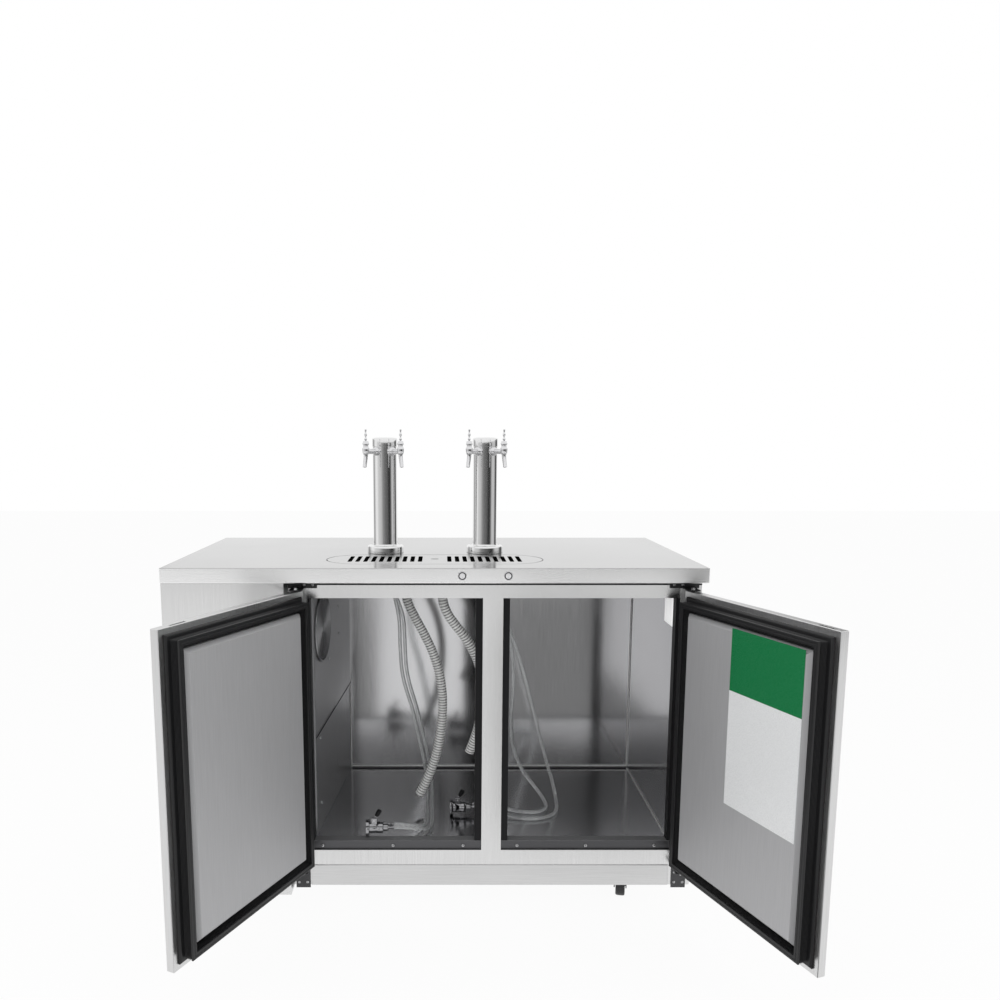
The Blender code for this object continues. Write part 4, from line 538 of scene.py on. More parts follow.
def make_floor():
    mesh = bpy.data.meshes.new("floor")
    shape = bmesh.new()
    bmesh.ops.create_grid(shape, x_segments=1, y_segments=1, size=floor_size / 2)
    shape.to_mesh(mesh)
    shape.free()
    made = material("pale_floor", grey(0.92), 0.8)
    floor = add("studio_floor", mesh, made)
    floor.location = at(0, 0, -floor_drop)
    glow = new_node(made, "ShaderNodeEmission")
    mixed = new_node(made, "ShaderNodeMixShader")
    share = new_node(made, "ShaderNodeMath", {1: floor_glow}, operation="MULTIPLY")
    link(made, white_for_rays(made), "Value", share, 0)
    link(made, share, "Value", mixed, "Fac")
    link(made, shader_of(made), "BSDF", mixed, 1)
    link(made, glow, "Emission", mixed, 2)
    link(made, mixed, "Shader", made.node_tree.nodes["Material Output"], "Surface")


def for_gloss_only(screen):
    """Hide a studio screen from all but reflections."""
    for way in ("camera", "diffuse", "shadow", "transmission"):
        setattr(screen, "visible_" + way, False)


def make_wall():
    """A round studio wall that only gloss reflects, with light and dark screens on it."""
    points, faces = [], []
    for height in (wall_low, wall_high):
        for index in range(wall_sides + 1):
            angle = wall_open * (2 * index / wall_sides - 1)
            across, along = wall_radius * math.sin(angle), -wall_radius * math.cos(angle)
            points.append((across, along, height))
    for index in range(wall_sides):
        above = wall_sides + 1 + index
        faces.append((index, index + 1, above + 1, above))
    made = material("studio_screens", grey(0.5), 0.8)
    wall = add("studio_wall", mesh_from("studio_wall", points, faces), made)
    wall.location = at(0, tower_y, 0)
    for_gloss_only(wall)
    place = new_node(made, "ShaderNodeTexCoord")
    split = new_node(made, "ShaderNodeSeparateXYZ")
    ahead = new_node(made, "ShaderNodeMath", {1: -1}, operation="MULTIPLY")
    compass = new_node(made, "ShaderNodeMath", operation="ARCTAN2")
    compass_range = {"From Min": -math.pi, "From Max": math.pi}
    spread = new_node(made, "ShaderNodeMapRange", compass_range)
    ramp = new_node(made, "ShaderNodeValToRGB")
    glow = new_node(made, "ShaderNodeEmission")
    link(made, place, "Object", split, "Vector")
    link(made, split, "Y", ahead, 0)
    link(made, split, "X", compass, 0)
    link(made, ahead, "Value", compass, 1)
    link(made, compass, "Value", spread, "Value")
    link(made, spread, "Result", ramp, "Fac")
    link(made, ramp, "Color", glow, "Color")
    link(made, glow, "Emission", made.node_tree.nodes["Material Output"], "Surface")
    stops = ramp.color_ramp.elements
    while len(stops) < len(wall_tones):
        stops.new(0.5)
    for stop, (degrees, tone) in zip(stops, wall_tones):
        stop.position = (degrees + 180) / 360
    for stop, (degrees, tone) in zip(stops, wall_tones):
        stop.color = (*grey(tone), 1)


def make_flags():
    """Two low dark screens before the doors, each with dark floor, that only gloss reflects."""
    points, faces = [], []
    eye = liner_back + liner_back + camera_distance
    for span in flag_spans:
        for y, height in ((flag_near, flag_floor), (flag_far, flag_floor), (flag_far, flag_high)):
            for x in span:
                widened = camera_x + (x - camera_x) * (eye - y) / (eye - liner_back)
                points.append(at(widened, y, height))
        first = len(points) - 6
        for low in (first, first + 2):
            faces.append((low, low + 1, low + 3, low + 2))
    made = material("studio_flags", grey(0.1), 0.8)
    flags = add("studio_flags", mesh_from("studio_flags", points, faces), made)
    for_gloss_only(flags)
    glow = new_node(made, "ShaderNodeEmission", {"Color": (*grey(flag_tone), 1)})
    link(made, glow, "Emission", made.node_tree.nodes["Material Output"], "Surface")


def make_world():
    world = bpy.data.worlds.new("studio")
    scene.world = world
    world.use_nodes = True
    world.node_tree.nodes.clear()
    output = new_node(world, "ShaderNodeOutputWorld")
    white = (*grey(1), 1)
    seen = new_node(world, "ShaderNodeBackground", {"Color": white})
    light = new_node(world, "ShaderNodeBackground", {"Color": white, "Strength": world_light})
    mixed = new_node(world, "ShaderNodeMixShader")
    link(world, white_for_rays(world), "Value", mixed, "Fac")
    link(world, light, "Background", mixed, 1)
    link(world, seen, "Background", mixed, 2)
    link(world, mixed, "Shader", output, "Surface")


def make_lamps():
    for name, place, target, size, power in lamps:
        data = bpy.data.lights.new(name, "AREA")
        data.shape = "RECTANGLE"
        data.size, data.size_y = size
        data.energy = power
        lamp = bpy.data.objects.new(name, data)
        place, target = at(*place), at(*target)
        lamp.location = place
        lamp.visible_glossy = False
        lamp.rotation_euler = (target - place).to_track_quat("-Z", "Y").to_euler()
        scene.collection.objects.link(lamp)


# Hoses and beer lines

hose_radius = 0.0143
hose_valley = 0.0124
hose_bore = 0.0102
hose_pitch = 0.0084
rows_per_rib = 6
rib_swell = 0.6
hose_sides = 28
line_radius = 0.0055
line_row = 0.006
curve_fineness = 24

air_hose_route = mm(
    (-90, 300, 949.7), (-90, 300, 922), (-86, 300, 892), (-75, 300, 862), (-57, 300, 826),
    (-36, 300, 787), (-9, 300, 729), (12, 300, 662), (22, 300, 595), (22, 300, 525), (14, 300, 452),
    (-2, 300, 381), (-24, 300, 322), (-38, 300, 292), (-50, 300, 268),
)
drain_hose_route = mm(
    (22, 180, 949.7), (22, 180, 922), (27, 181, 891), (41, 183, 860), (62, 186, 830),
    (87, 190, 797), (116, 198, 745), (135, 206, 690), (142, 214, 625), (138, 222, 560),
    (127, 230, 500), (114, 236, 458), (104, 240, 430),
)
beer_line_routes = {
    "left_1": mm(
        (-132, 332, 949.7), (-132, 332, 935), (-128, 333, 905), (-118, 335, 865), (-110, 336, 812),
        (-108, 337, 742), (-104, 338, 668), (-93, 338, 608), (-72, 338, 538), (-55, 338, 462),
        (-37, 338, 375), (-27, 337, 310), (-24, 321, 261), (-24, 284, 235.5), (-25, 245, 230.5),
        (-25, 213, 230.5), (-26, 187, 230.7), (-31, 161, 232.5), (-43, 142, 237.5),
        (-62, 129, 243.5), (-84, 124, 248.5), (-104, 124, 250.3), (-119.7, 124, 250.3),
    ),
    "left_2": mm(
        (-132, 348, 949.7), (-132, 348, 935), (-127, 349, 905), (-112, 350, 867), (-98, 350, 818),
        (-94, 350, 750), (-90, 351, 668), (-79, 351, 608), (-59, 351, 538), (-41, 351, 462),
        (-23, 351, 375), (-12, 350, 310), (-9, 334, 260), (-9, 296, 235), (-9, 256, 230.5),
        (-9, 222, 230.5), (-9, 193, 230.5), (-10, 168, 230.8), (-15, 143, 232.5), (-28, 123, 237),
        (-49, 109, 243), (-74, 104, 248), (-104, 104, 250.3), (-119.7, 104, 250.3),
    ),
    "right_1": mm(
        (168, 332, 949.7), (168, 332, 935), (173, 333, 902), (194, 335, 855), (228, 338, 786),
        (258, 340, 705), (284, 340, 612), (308, 340, 525), (332, 341, 430), (356, 343, 342),
        (366, 343, 312), (372, 342, 287), (377, 335, 263), (380, 321, 245), (380, 301, 234),
        (377, 279, 230.5), (369, 253, 230.5), (353, 231, 230.5), (329, 215, 230.5),
        (300, 207, 230.5), (268, 208, 230.5), (236, 218, 232.5), (204, 233, 238.5),
        (172, 246, 246.2), (141, 251, 250.3), (125.3, 251, 250.3),
    ),
    "right_2": mm(
        (168, 348, 949.7), (168, 348, 935), (173, 350, 902), (192, 354, 855), (222, 358, 785),
        (240, 360, 702), (244, 360, 610), (239, 360, 515), (243, 361, 425), (259, 362, 363),
        (281, 362, 318), (302, 361.5, 289), (319.5, 357, 267.5), (334, 346.5, 250.5),
        (343.5, 329.5, 238), (347.5, 308, 231), (344, 285, 230.5), (332, 267, 230.5),
        (313, 256, 230.5), (290, 254.5, 230.5), (266, 259, 230.5), (241, 265, 231.8),
        (216, 268, 236.2), (191, 270, 242.2), (166, 271, 247.7), (141, 271, 250.3),
        (125.3, 271, 250.3),
    ),
}


def curve_through(points):
    """Close points on a smooth curve whose ends run along the route's end stretches."""
    first, *inner, last = map(Vector, points)
    second, before_last = inner[0], inner[-1]
    lead_in = (second - first).normalized() * (inner[1] - second).length
    lead_out = (last - before_last).normalized() * (before_last - inner[-2]).length
    padded = [inner[1] - 2 * lead_in, *inner, inner[-2] + 2 * lead_out]
    dense = [first]
    for start_index in range(1, len(padded) - 2):
        before, start, end, after = padded[start_index - 1:start_index + 3]
        for index in range(curve_fineness):
            share = index / curve_fineness
            bend = (2 * before - 5 * start + 4 * end - after) * share**2
            twist = (3 * start - before - 3 * end + after) * share**3
            dense.append((2 * start + (end - before) * share + bend + twist) / 2)
    dense.append(inner[-1])
    dense.append(last)
    return dense


def even_points(dense, step):
    """Points at even steps along a line of close points, with the line's length."""
    length = sum((second - first).length for first, second in zip(dense, dense[1:]))
    count = max(1, round(length / step))
    found = [dense[0]]
    travelled = 0.0
    for first, second in zip(dense, dense[1:]):
        stretch = (second - first).length
        while len(found) < count and travelled + stretch >= length * len(found) / count:
            share = (length * len(found) / count - travelled) / stretch
            found.append(first.lerp(second, share))
        travelled += stretch
    found.append(dense[-1])
    return found, length


def make_hoses():
    for name, route in (("air_hose", air_hose_route), ("drain_hose", drain_hose_route)):
        route = [at(*point) for point in route]
        path, length = even_points(curve_through(route), hose_pitch / rows_per_rib)
        radii = []
        for index in range(len(path)):
            wave = 0.5 - 0.5 * math.cos(2 * math.pi * index / rows_per_rib)
            radii.append(hose_valley + (hose_radius - hose_valley) * wave**rib_swell)
        hose = sweep(name + "_ribbed", path, radii, hose_plastic, hose_sides, hose_bore, 80)
        # Faces in each groove and inside the bore take the dark painted shade.
        hose.data.materials.append(hose_painted_shade)
        for face in hose.data.polygons:
            row = face.index // hose_sides
            if row >= len(path) - 1 or row % rows_per_rib in (0, rows_per_rib - 1):
                face.material_index = 1
        put(hose, "hose_plastic", name)


def make_beer_lines():
    for name, route in beer_line_routes.items():
        route = [at(*point) for point in route]
        path, length = even_points(curve_through(route), line_row)
        radii = [line_radius] * len(path)
        line = sweep("beer_line_" + name + "_tube", path, radii, line_vinyl, 20)
        put(line, "clear_vinyl", "beer_line_" + name)


# Pieces

gap = 0.0003
liner_ceiling = 0.950
to_front = Matrix.Rotation(math.pi / 2, 3, "X")
to_right = Matrix.Rotation(math.pi / 2, 3, "Y")
cut_angle = 30

# Pan-head screws, as shares of their radius and of their height, with a crossed slot
screw_height = 0.55
screw_outline = ((0, -1), (0.5, -1), (1, 0), (1, 0.35), (0.86, 0.8), (0.5, 1), (0, 1.05))
slot_half_length, slot_half_width = 0.62, 0.12
slot_low, slot_high = 0.35, 2


def put(piece, slot, *replaced, body="cabinet"):
    """Ride a piece on its body, hiding the frame pieces it stands for; the finish slot is not used.
    """
    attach(piece, body)
    if replaced:
        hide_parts(*replaced)
    return piece


def frame_at(x, y, z, turn=None):
    found = Matrix.Translation(at(x, y, z))
    return found @ turn.to_4x4() if turn else found


def mirrored(outline):
    """A (radius, height) outline carried on over its mirror image below."""
    return outline + [(radius, -height) for radius, height in reversed(outline)]


def carved(piece, cutters):
    """Cut pieces out of a piece, and keep the finish of each on its own faces."""
    for cutter in cutters:
        modifier = piece.modifiers.new("cut", "BOOLEAN")
        modifier.object = cutter
        modifier.operation = "DIFFERENCE"
        modifier.solver = "EXACT"
        modifier.material_mode = "TRANSFER"
    mesh = applied(piece)
    piece.modifiers.clear()
    piece.data = mesh
    for cutter in cutters:
        bpy.data.objects.remove(cutter)
    mesh.shade_smooth()
    mesh.set_sharp_from_angle(angle=math.radians(cut_angle))
    return evened(piece)


def screw(name, matrix, radius):
    """A pan-head screw in the cabinet with its crossed slot, facing along the matrix's Z."""
    height = radius * screw_height
    profile = [(radius * out, height * up) for out, up in screw_outline]
    head = spun(name, profile, matrix, bolt_steel, 20)
    cutters = []
    # The crossed slot's cut faces take the near-black painted shade.
    for turn in (0, math.pi / 2):
        local = matrix @ Matrix.Rotation(turn, 4, "Z")
        half, thin = radius * slot_half_length, radius * slot_half_width
        low, high = (-half, -thin, height * slot_low), (half, thin, height * slot_high)
        cutters.append(slab("driver_slot", low, high, 0, painted_shade_inside, matrix=local))
    return put(carved(head, cutters), "chrome")


# Worktop, tray and grate

worktop_half = 0.734
worktop_depth = 0.750
worktop_bottom = 0.9845
worktop_edge = 0.0025
through = 0.1
# The fascia's finish, a brighter copy of the worktop's steel that paints light on it, is on upright
# faces within this reach of the front and back
fascia_reach = 0.03
fascia_tilt = 0.3
# The black strip under the worktop's front edge, a painted shadow of the gap
shadow_strip_inset = 0.0015
shadow_strip_front, shadow_strip_back = 0.0612, 0.0618
shadow_strip_low = 0.9703
tray_half_length = 0.310
tray_half_width = 0.102
tray_y = 0.180
tray_ledge = 0.010
tray_depth = 0.034
tray_wall = 0.0015
tray_steps = 32
drain_x = 0.022
drain_below = 0.015
grate_thickness = 0.0022
grate_edge = 0.0034
grate_round = 0.0004
slots_per_side = 10
slot_first = 0.0415
slot_pitch = 0.022
slot_shift = 0.0065
slot_steps = 8
slot_size = (0.0595, 0.006)
finger_hole = (0.0115, 0.0056)
tower_x = 0.150
tower_y = 0.340
tail_radius = 0.0297
lock_places = (("left", 0.074), ("right", 0.197))
lock_z = 1.00525
lock_barrel = 0.0095
lock_barrel_length = 0.018
pocket_left, pocket_right = 0.0135, 0.055
pocket_front, pocket_back = 0.014, 0.0245
pocket_below, pocket_above = 0.01, 0.011


def rod(radius, low, high):
    """The outline of a plain round rod."""
    return [(0, low), (radius, low), (radius, high), (0, high)]


def tray_outline(inset):
    return stadium(tray_half_length - inset, tray_half_width - inset, tray_steps)


def make_worktop():
    low = at(-worktop_half, 0, worktop_bottom)
    high = at(worktop_half, worktop_depth, worktop_top)
    top = slab("worktop_folded_sheet", low, high, worktop_edge, steel_top, 4)
    ledge = 2 * (grate_thickness + tray_wall + 2 * gap)
    middle = at(0, tray_y, worktop_top)
    cutters = [
        plate("ledge_cutter", [tray_outline(0)], ledge, 0, middle, steel_top),
        plate("well_cutter", [tray_outline(tray_ledge)], through, 0, middle, steel_top),
    ]
    for x in (-tower_x, tower_x):
        hole = rod(tail_radius + gap, -through, through)
        cutters.append(spun("tower_hole", hole, frame_at(x, tower_y, worktop_top), steel_top))
    # The lock bores and pockets leave near-black painted shade on their cut faces.
    for side, x in lock_places:
        reach = 2 * lock_barrel_length
        bore = rod(lock_barrel + gap, -reach, reach)
        cutters.append(spun("lock_bore", bore, frame_at(x, 0, lock_z, to_front), painted_shade_inside, 32))
        low = at(x - pocket_left, pocket_front, worktop_bottom - pocket_below)
        high = at(x + pocket_right, pocket_back, lock_z + pocket_above)
        cutters.append(slab("lock_pocket", low, high, 0, painted_shade_inside))
    carved(top, cutters)
    # The worktop's upright rim faces take the brighter copy of its steel: painted light.
    painted_light_slot = len(top.data.materials)
    top.data.materials.append(fascia_steel_painted_light)
    for face in top.data.polygons:
        at_side = abs(face.center.x) > worktop_half - worktop_edge
        back = face.center.y - front_y
        at_rim = at_side or not fascia_reach < back < worktop_depth - fascia_reach
        upright = face.normal.z < fascia_tilt and face.center.z > at(0, 0, worktop_bottom).z
        if at_rim and upright and face.material_index == 0:
            face.material_index = painted_light_slot
    put(top, "brushed_steel", "worktop")
    # A thin black strip under the worktop's front edge: a painted shadow for the gap below it.
    low = at(-worktop_half + shadow_strip_inset, shadow_strip_front, shadow_strip_low)
    high = at(worktop_half - shadow_strip_inset, shadow_strip_back, worktop_bottom - gap)
    strip = slab("worktop_gap_painted_shadow", low, high, 0.0001, black_rubber, 1)
    put(strip, "gasket_rubber")


def make_tray():
    """The pan through outlines given as (inset, height) rows, and the drain pipe below it."""
    rim_top = worktop_top - grate_thickness - gap
    inner = tray_ledge + gap + tray_wall
    outer = tray_ledge + gap
    floor = tray_wall - tray_depth
    rows = [
        (inner + 0.006, floor), (inner + 0.0015, floor + 0.0045), (inner, -0.001),
        (inner - 0.0012, 0), (gap, 0), (gap, -tray_wall), (outer, -tray_wall),
        (outer + 0.0015, 0.0045 - tray_depth), (inner + 0.0045, -tray_depth),
    ]
    points = []
    for inset, rise in rows:
        for across, along in tray_outline(inset):
            points.append(at(across, tray_y + along, rim_top + rise))
    faces = ring_faces(len(rows), 2 * (tray_steps + 1), False, (0, len(rows) - 1))
    pan = add("drip_tray_pan", mesh_from("drip_tray_pan", points, faces), tray_steel_painted_shade, smooth_below)
    low = liner_ceiling - drain_below - rim_top
    bore, wall, collar = 0.0072, 0.0091, 0.0105
    under, top = -tray_depth + 0.0012, -tray_depth + 0.0018
    pipe_outline = [(bore, low), (wall, low), (wall, under), (collar, top), (bore, top)]
    place = frame_at(drain_x, tray_y, rim_top)
    pipe = spun("drain_pipe", pipe_outline, place, tray_steel_painted_shade, 32, True)
    put(joined("drip_tray_pressed", [pan, pipe]), "brushed_steel", "drip_tray")


def make_grate():
    outlines = [tray_outline(grate_edge)]
    slot = stadium(*slot_size, slot_steps)
    for side in (-1, 1):
        for index in range(slots_per_side):
            x = side * (slot_first + index * slot_pitch)
            outlines.append([(x + across, slot_shift + along) for along, across in slot])
    outlines.append(stadium(*finger_hole, slot_steps, (0, slot_shift)))
    place = at(0, tray_y, worktop_top - grate_thickness / 2)
    grate = plate("drip_grate_slotted", outlines, grate_thickness, grate_round, place, steel_top)
    put(grate, "brushed_steel", "drip_grate", body="grate")


# Towers and faucets

column_radius = 0.0362
column_inside = 0.0332
tower_height = 0.345
tower_sides = 96
tower_smooth = 30
cap_radius = 0.0376
cap_low = 0.3170
cap_thickness = 0.0042
shank_z = 1.330
shank_radius = 0.0078
faucet_side, faucet_out = 0.0505, 0.076
faucet_reach = math.hypot(faucet_side, faucet_out)
faucet_angle = math.atan2(faucet_side, faucet_out)
lever_rise = 0.0265

spout_steps = 14
spout_top = 0.0030
spout_length = 0.0420
spout_straight = 0.18
spout_lean = 0.00896
spout_bend = 1.25
spout_radius = 0.0062
spout_taper = 0.0009
spout_bore = 0.0041
mouth_share = 0.14
mouth_flare = 0.0005

foot_outline = mm(
    (36.2, 28.5), (36.6, 25.5), (38, 23.2), (40.5, 22), (49.5, 22), (52, 21.4), (53.7, 19.7),
    (54.5, 17), (54.5, 0.8), (53.7, 0),
)
body_outline = mm(
    (0, -9), (6.6, -9), (7.8, -8.2), (9.2, -4), (10, 4), (10, 9.5), (9.2, 11.2), (7.4, 13.2),
    (7.2, 16.5), (7.8, 19), (9.4, 20.5), (9.5, 24), (8.2, 26.2), (8.2, 29), (7.4, 30), (6, 30),
    (5.8, 21.5), (0, 21.5),
)
collar_outline = mm(
    (7.8, 24), (12.5, 33.5), (12.5, 41.5), (11.8, 42.5), (11.8, 43.5), (12.5, 44.5), (12, 47),
    (9.6, 50.5), (7.8, 51.6), (7.5, 56), (7.5, 86), (0, 90),
)
lever_outline = mm(
    (0, 37.1), (2, 37.1), (2.8, 36.4), (3, 35), (2.6, 32.5), (2.1, 30), (2.4, 27.5), (3.6, 24.5),
    (4.2, 21.5), (3.6, 19), (2.4, 17.2), (2.1, 15), (2.6, 12.8), (4, 10.8), (4.5, 8.8), (3.6, 7),
    (2.5, 6.2), (2.4, 5), (3.6, 4.2), (4.8, 2.7), (5.5, 0), (4.8, -2.7), (3, -4.6), (0, -5.5),
)
mouth_outline = mm((0, -0.5), (4.3, -0.5), (4.3, 0.2), (0, 0.4))


def make_towers():
    tail = liner_ceiling - worktop_top - gap
    tail_inside = 0.0267
    outline = [
        (0, tail + 0.012), (tail_inside, tail + 0.012), (tail_inside, -0.002),
        (column_inside, 0.022), (column_inside, tower_height - 0.0045),
        (column_radius, tower_height - 0.0045), *foot_outline,
        (tail_radius, 0), (tail_radius, tail), (0, tail),
    ]
    under_cap = tower_height - cap_thickness
    cap_outline = [
        (0, tower_height), (0.0200, tower_height - 0.0004), (0.0300, tower_height - 0.0012),
        (0.0350, tower_height - 0.0024), (0.0370, under_cap), (cap_radius, tower_height - 0.0065),
        (cap_radius, cap_low + 0.0010), (0.0370, cap_low), (column_radius + gap, cap_low),
        (column_radius + gap, under_cap), (0, under_cap),
    ]
    parts = (("column", "brushed_steel", outline), ("cap", "chrome", cap_outline))
    for side, x in (("left", -tower_x), ("right", tower_x)):
        place = frame_at(x, tower_y, worktop_top + gap)
        for label, slot, profile in parts:
            name = f"tower_{label}_turned_{side}"
            made = spun(name, profile, place, tower_steel, tower_sides, smooth_angle=tower_smooth)
            put(made, slot, f"tower_{label}_{side}")


def make_faucets():
    for side, x in (("left", -tower_x), ("right", tower_x)):
        for way in (-1, 1):
            label = side + ("_inner" if way * x < 0 else "_outer")
            turn = Matrix.Rotation(faucet_angle * way, 3, "Z")
            place = frame_at(x, tower_y, shank_z, turn)
            at_body = place @ Matrix.Translation((0, -faucet_reach, 0))
            outward = place @ to_front.to_4x4()
            body = spun("faucet_body", body_outline, at_body, polished, 40)
            collar = spun("faucet_collar", collar_outline, outward, polished, 40)
            shank = spun("faucet_shank", rod(shank_radius, 0.022, 0.0380), outward, polished, 32)
            path, radii = [], []
            for index in range(spout_steps + 1):
                share = index / spout_steps
                forward = spout_lean * max(0.0, share - spout_straight) ** spout_bend
                path.append(at_body @ Vector((0, -forward, -spout_top - spout_length * share)))
                flare = mouth_flare * max(0.0, share + mouth_share - 1) / mouth_share
                radii.append(spout_radius - spout_taper * share + flare)
            spout = sweep("faucet_spout", path, radii, polished, 32, spout_bore)
            heading = (path[-1] - path[-2]).to_track_quat("Z", "Y").to_matrix().to_4x4()
            opening = Matrix.Translation(path[-3]) @ heading
            # A dark disc set inside the spout's mouth: painted shade.
            mouth = spun("spout_mouth_painted_shade", mouth_outline, opening, painted_shade_inside, 20)
            faucet = joined("faucet_turned_" + label, [body, collar, shank, spout, mouth])
            put(faucet, "chrome", "faucet_" + label)
            pivot = at_body @ Matrix.Translation((0, 0, lever_rise))
            lever = spun("faucet_lever_turned_" + label, lever_outline, pivot, polished, 28)
            put(lever, "chrome", "faucet_lever_" + label, body="lever_" + label)


def make_locks():
    profile = mm((0, -18), (9, -18), (9.5, -17.5)) + [(lock_barrel, gap), (0.01225, gap)]
    profile += mm(
        (12.25, 1.8), (11.7, 2.8), (10.6, 2.8), (10.3, 2.1), (7.9, 2.1), (7.6, 2.7), (0, 2.8),
    )
    groove_outline = mm((7.8, 1.9), (10.4, 1.9), (10.4, 2.25), (7.8, 2.25))
    key_low, key_high = mm((-1.6, -4, 0.4), (1.6, 4, 4))
    cam_left, cam_right, cam_half, cam_thickness = 0.007, 0.051, 0.007, 0.0025
    for side, x in lock_places:
        place = frame_at(x, 0, lock_z, to_front)
        face = spun("lock_face", profile, place, polished)
        # A near-black ring in the face's groove, and the keyway's cut faces: painted shade.
        groove = spun("lock_groove_painted_shade", groove_outline, place, painted_shade_inside, ring=True)
        face = carved(face, [slab("keyway", key_low, key_high, 0, painted_shade_inside, matrix=place)])
        low = at(x - cam_left, lock_barrel_length - gap, lock_z - cam_half)
        high = at(x + cam_right, lock_barrel_length + cam_thickness, lock_z + cam_half)
        cam = slab("lock_cam", low, high, 0.0008, bolt_steel, 2)
        lock = joined("lock_turned_" + side, [face, groove, cam])
        put(lock, "chrome", "lock_" + side, body="lock_" + side)


# Doors

pivot_y = 0.018
door_low = 0.1563
door_high = 0.9596
door_sides = (
    ("left", -0.374, 1, math.radians(115.2)),
    ("right", 0.696, -1, math.radians(109.9)),
)
door_start = -0.024
door_end = 0.532
door_corners = (
    (door_start, 1, door_low, 1), (door_end, -1, door_low, 1),
    (door_end, -1, door_high, -1), (door_start, 1, door_high, -1),
)
step_base = 0.0083
step_ledge = 0.0163
seal_start = 0.026
seal_end = 0.040
seal_tip = 0.0437
magnet_depth = 0.006
pleats = 6
pleat_depth = 0.0026
pleat_round = 0.0007
label_face = 0.0395
label_far, label_near = -0.467, -0.218
label_fields = (("upper", 0.7495, 0.9067, label_green), ("lower", 0.4545, 0.7495, label_white))

hinge_top_z = 0.9645
hinge_low_z = 0.1525
bracket_front = 0.0592
top_screws = mm((17, 971.5), (40, 971.5))
low_screws_x, low_screws_apart = 0.0045, 0.0120
low_screws_z = (0.104, 0.134)
top_nut = mm((0, 0), (7.2, 0), (7.2, 1.2), (5.4, 1.6), (5.4, 4.6), (4.6, 5.6), (0, 6))
low_nut = mm((0, -5.5), (5, -5.5), (5.6, -4.8), (5.6, -1.2), (7.6, -0.8), (7.6, 0), (0, 0))


def gasket_outline():
    """The moulded step and the pleated gasket on it with its magnet, as (inset, depth) points."""
    outer, inner = [], []
    for index in range(1, 2 * pleats):
        depth = step_ledge + (seal_tip - magnet_depth - step_ledge) * index / (2 * pleats)
        fold = pleat_depth if index % 2 else 0.0
        outer.append((seal_start + fold, depth))
        inner.insert(0, (seal_end - fold, depth))
    shoulder, brim = seal_tip - 0.0055, seal_tip - 0.0008
    profile = [(0.015, step_base), (0.015, step_ledge - 0.004), (0.019, step_ledge)]
    profile += [(seal_start, step_ledge), *outer]
    profile += [(seal_start - 0.0004, shoulder), (seal_start - 0.0004, brim)]
    profile += [(seal_start + 0.0008, seal_tip), (seal_start + 0.0060, seal_tip)]
    profile += [(seal_start + 0.0065, brim), (seal_start + 0.0075, brim)]
    profile += [(seal_start + 0.0080, seal_tip), (seal_end - 0.0008, seal_tip)]
    profile += [(seal_end + 0.0004, brim), (seal_end + 0.0004, shoulder), *inner]
    profile += [(seal_end, step_ledge), (0.0440, step_ledge), (0.0475, 0.0223)]
    profile += [(0.0520, 0.0223), (0.0520, step_base)]
    return rounded(profile, pleat_round, 2)


def make_doors():
    """The gaskets, one section carried round each door, and the right door's blank sticker."""
    profile = gasket_outline()
    for side_name, pivot_x, side, angle in door_sides:
        matrix = frame_at(pivot_x, pivot_y, 0, Matrix.Rotation(-side * angle, 3, "Z"))
        points = []
        for x_edge, x_way, z_edge, z_way in door_corners:
            for inset, depth in profile:
                x, z = side * (x_edge + x_way * inset), z_edge + z_way * inset
                points.append(matrix @ Vector((x, depth, z)))
        name = "door_gasket_pleated_" + side_name
        mesh = mesh_from(name, points, ring_faces(len(door_corners), len(profile), True))
        gasket = add(name, mesh, black_rubber, 50)
        put(gasket, "gasket_rubber", "door_gasket_" + side_name, body="door_" + side_name)
    for label, low_z, high_z, made in label_fields:
        low = (label_far, label_face + 0.00005, low_z)
        high = (label_near, label_face + 0.0004, high_z)
        sticker = slab("door_label_blank_" + label, low, high, 0.0001, made, 1, matrix)
        put(sticker, "white_plastic", body="door_" + side_name)


def make_hinge_trim():
    for name, pivot_x, side, angle in door_sides:
        place = frame_at(pivot_x, pivot_y, hinge_top_z)
        put(spun("hinge_nut_top_" + name, top_nut, place, polished, 6), "chrome")
        for index, (offset, z) in enumerate(top_screws):
            place = frame_at(pivot_x + side * offset, bracket_front, z, to_front)
            screw(f"hinge_screw_top_{name}_{index}", place, 0.0038)
        for index, z in enumerate(low_screws_z):
            for way in (-1, 1):
                x = pivot_x + side * (way * low_screws_apart - low_screws_x)
                place = frame_at(x, bracket_front, z, to_front)
                screw(f"hinge_screw_low_{name}_{index}_{way + 1}", place, 0.0040)
        place = frame_at(pivot_x, pivot_y, hinge_low_z)
        put(spun("hinge_nut_low_" + name, low_nut, place, polished, 6), "chrome")


# Keg space

threshold_front = 0.0690
threshold_sides = (("left", -0.3485, 0.1325), ("right", 0.1895, 0.6735))
threshold_screws = (-0.322, -0.120, 0.081, 0.236, 0.433, 0.630)
# The evaporator cover's face leans: its x and the height of its lower edge change this much for
# each metre back
cover_x, cover_y = -0.34, 0.11
cover_slope = 0.08333
cover_edge_low, cover_edge_slope = 0.5168, 0.0296
shadow_line_radius = 0.0012
cover_screws = mm((455, 837), (455, 749), (300, 704), (165, 500), (165, 300))
guard_angle = math.radians(4.764)
guard_seat = 0.0035
guard_rings = 13
guard_first = 0.0140
guard_pitch = 0.0062
guard_wire_radius = 0.0015
rim_ring, rim_wire = 0.0978, 0.0032
guard_spokes = 8
spoke_ends = (0.008, 0.097)
spoke_radius = 0.0012


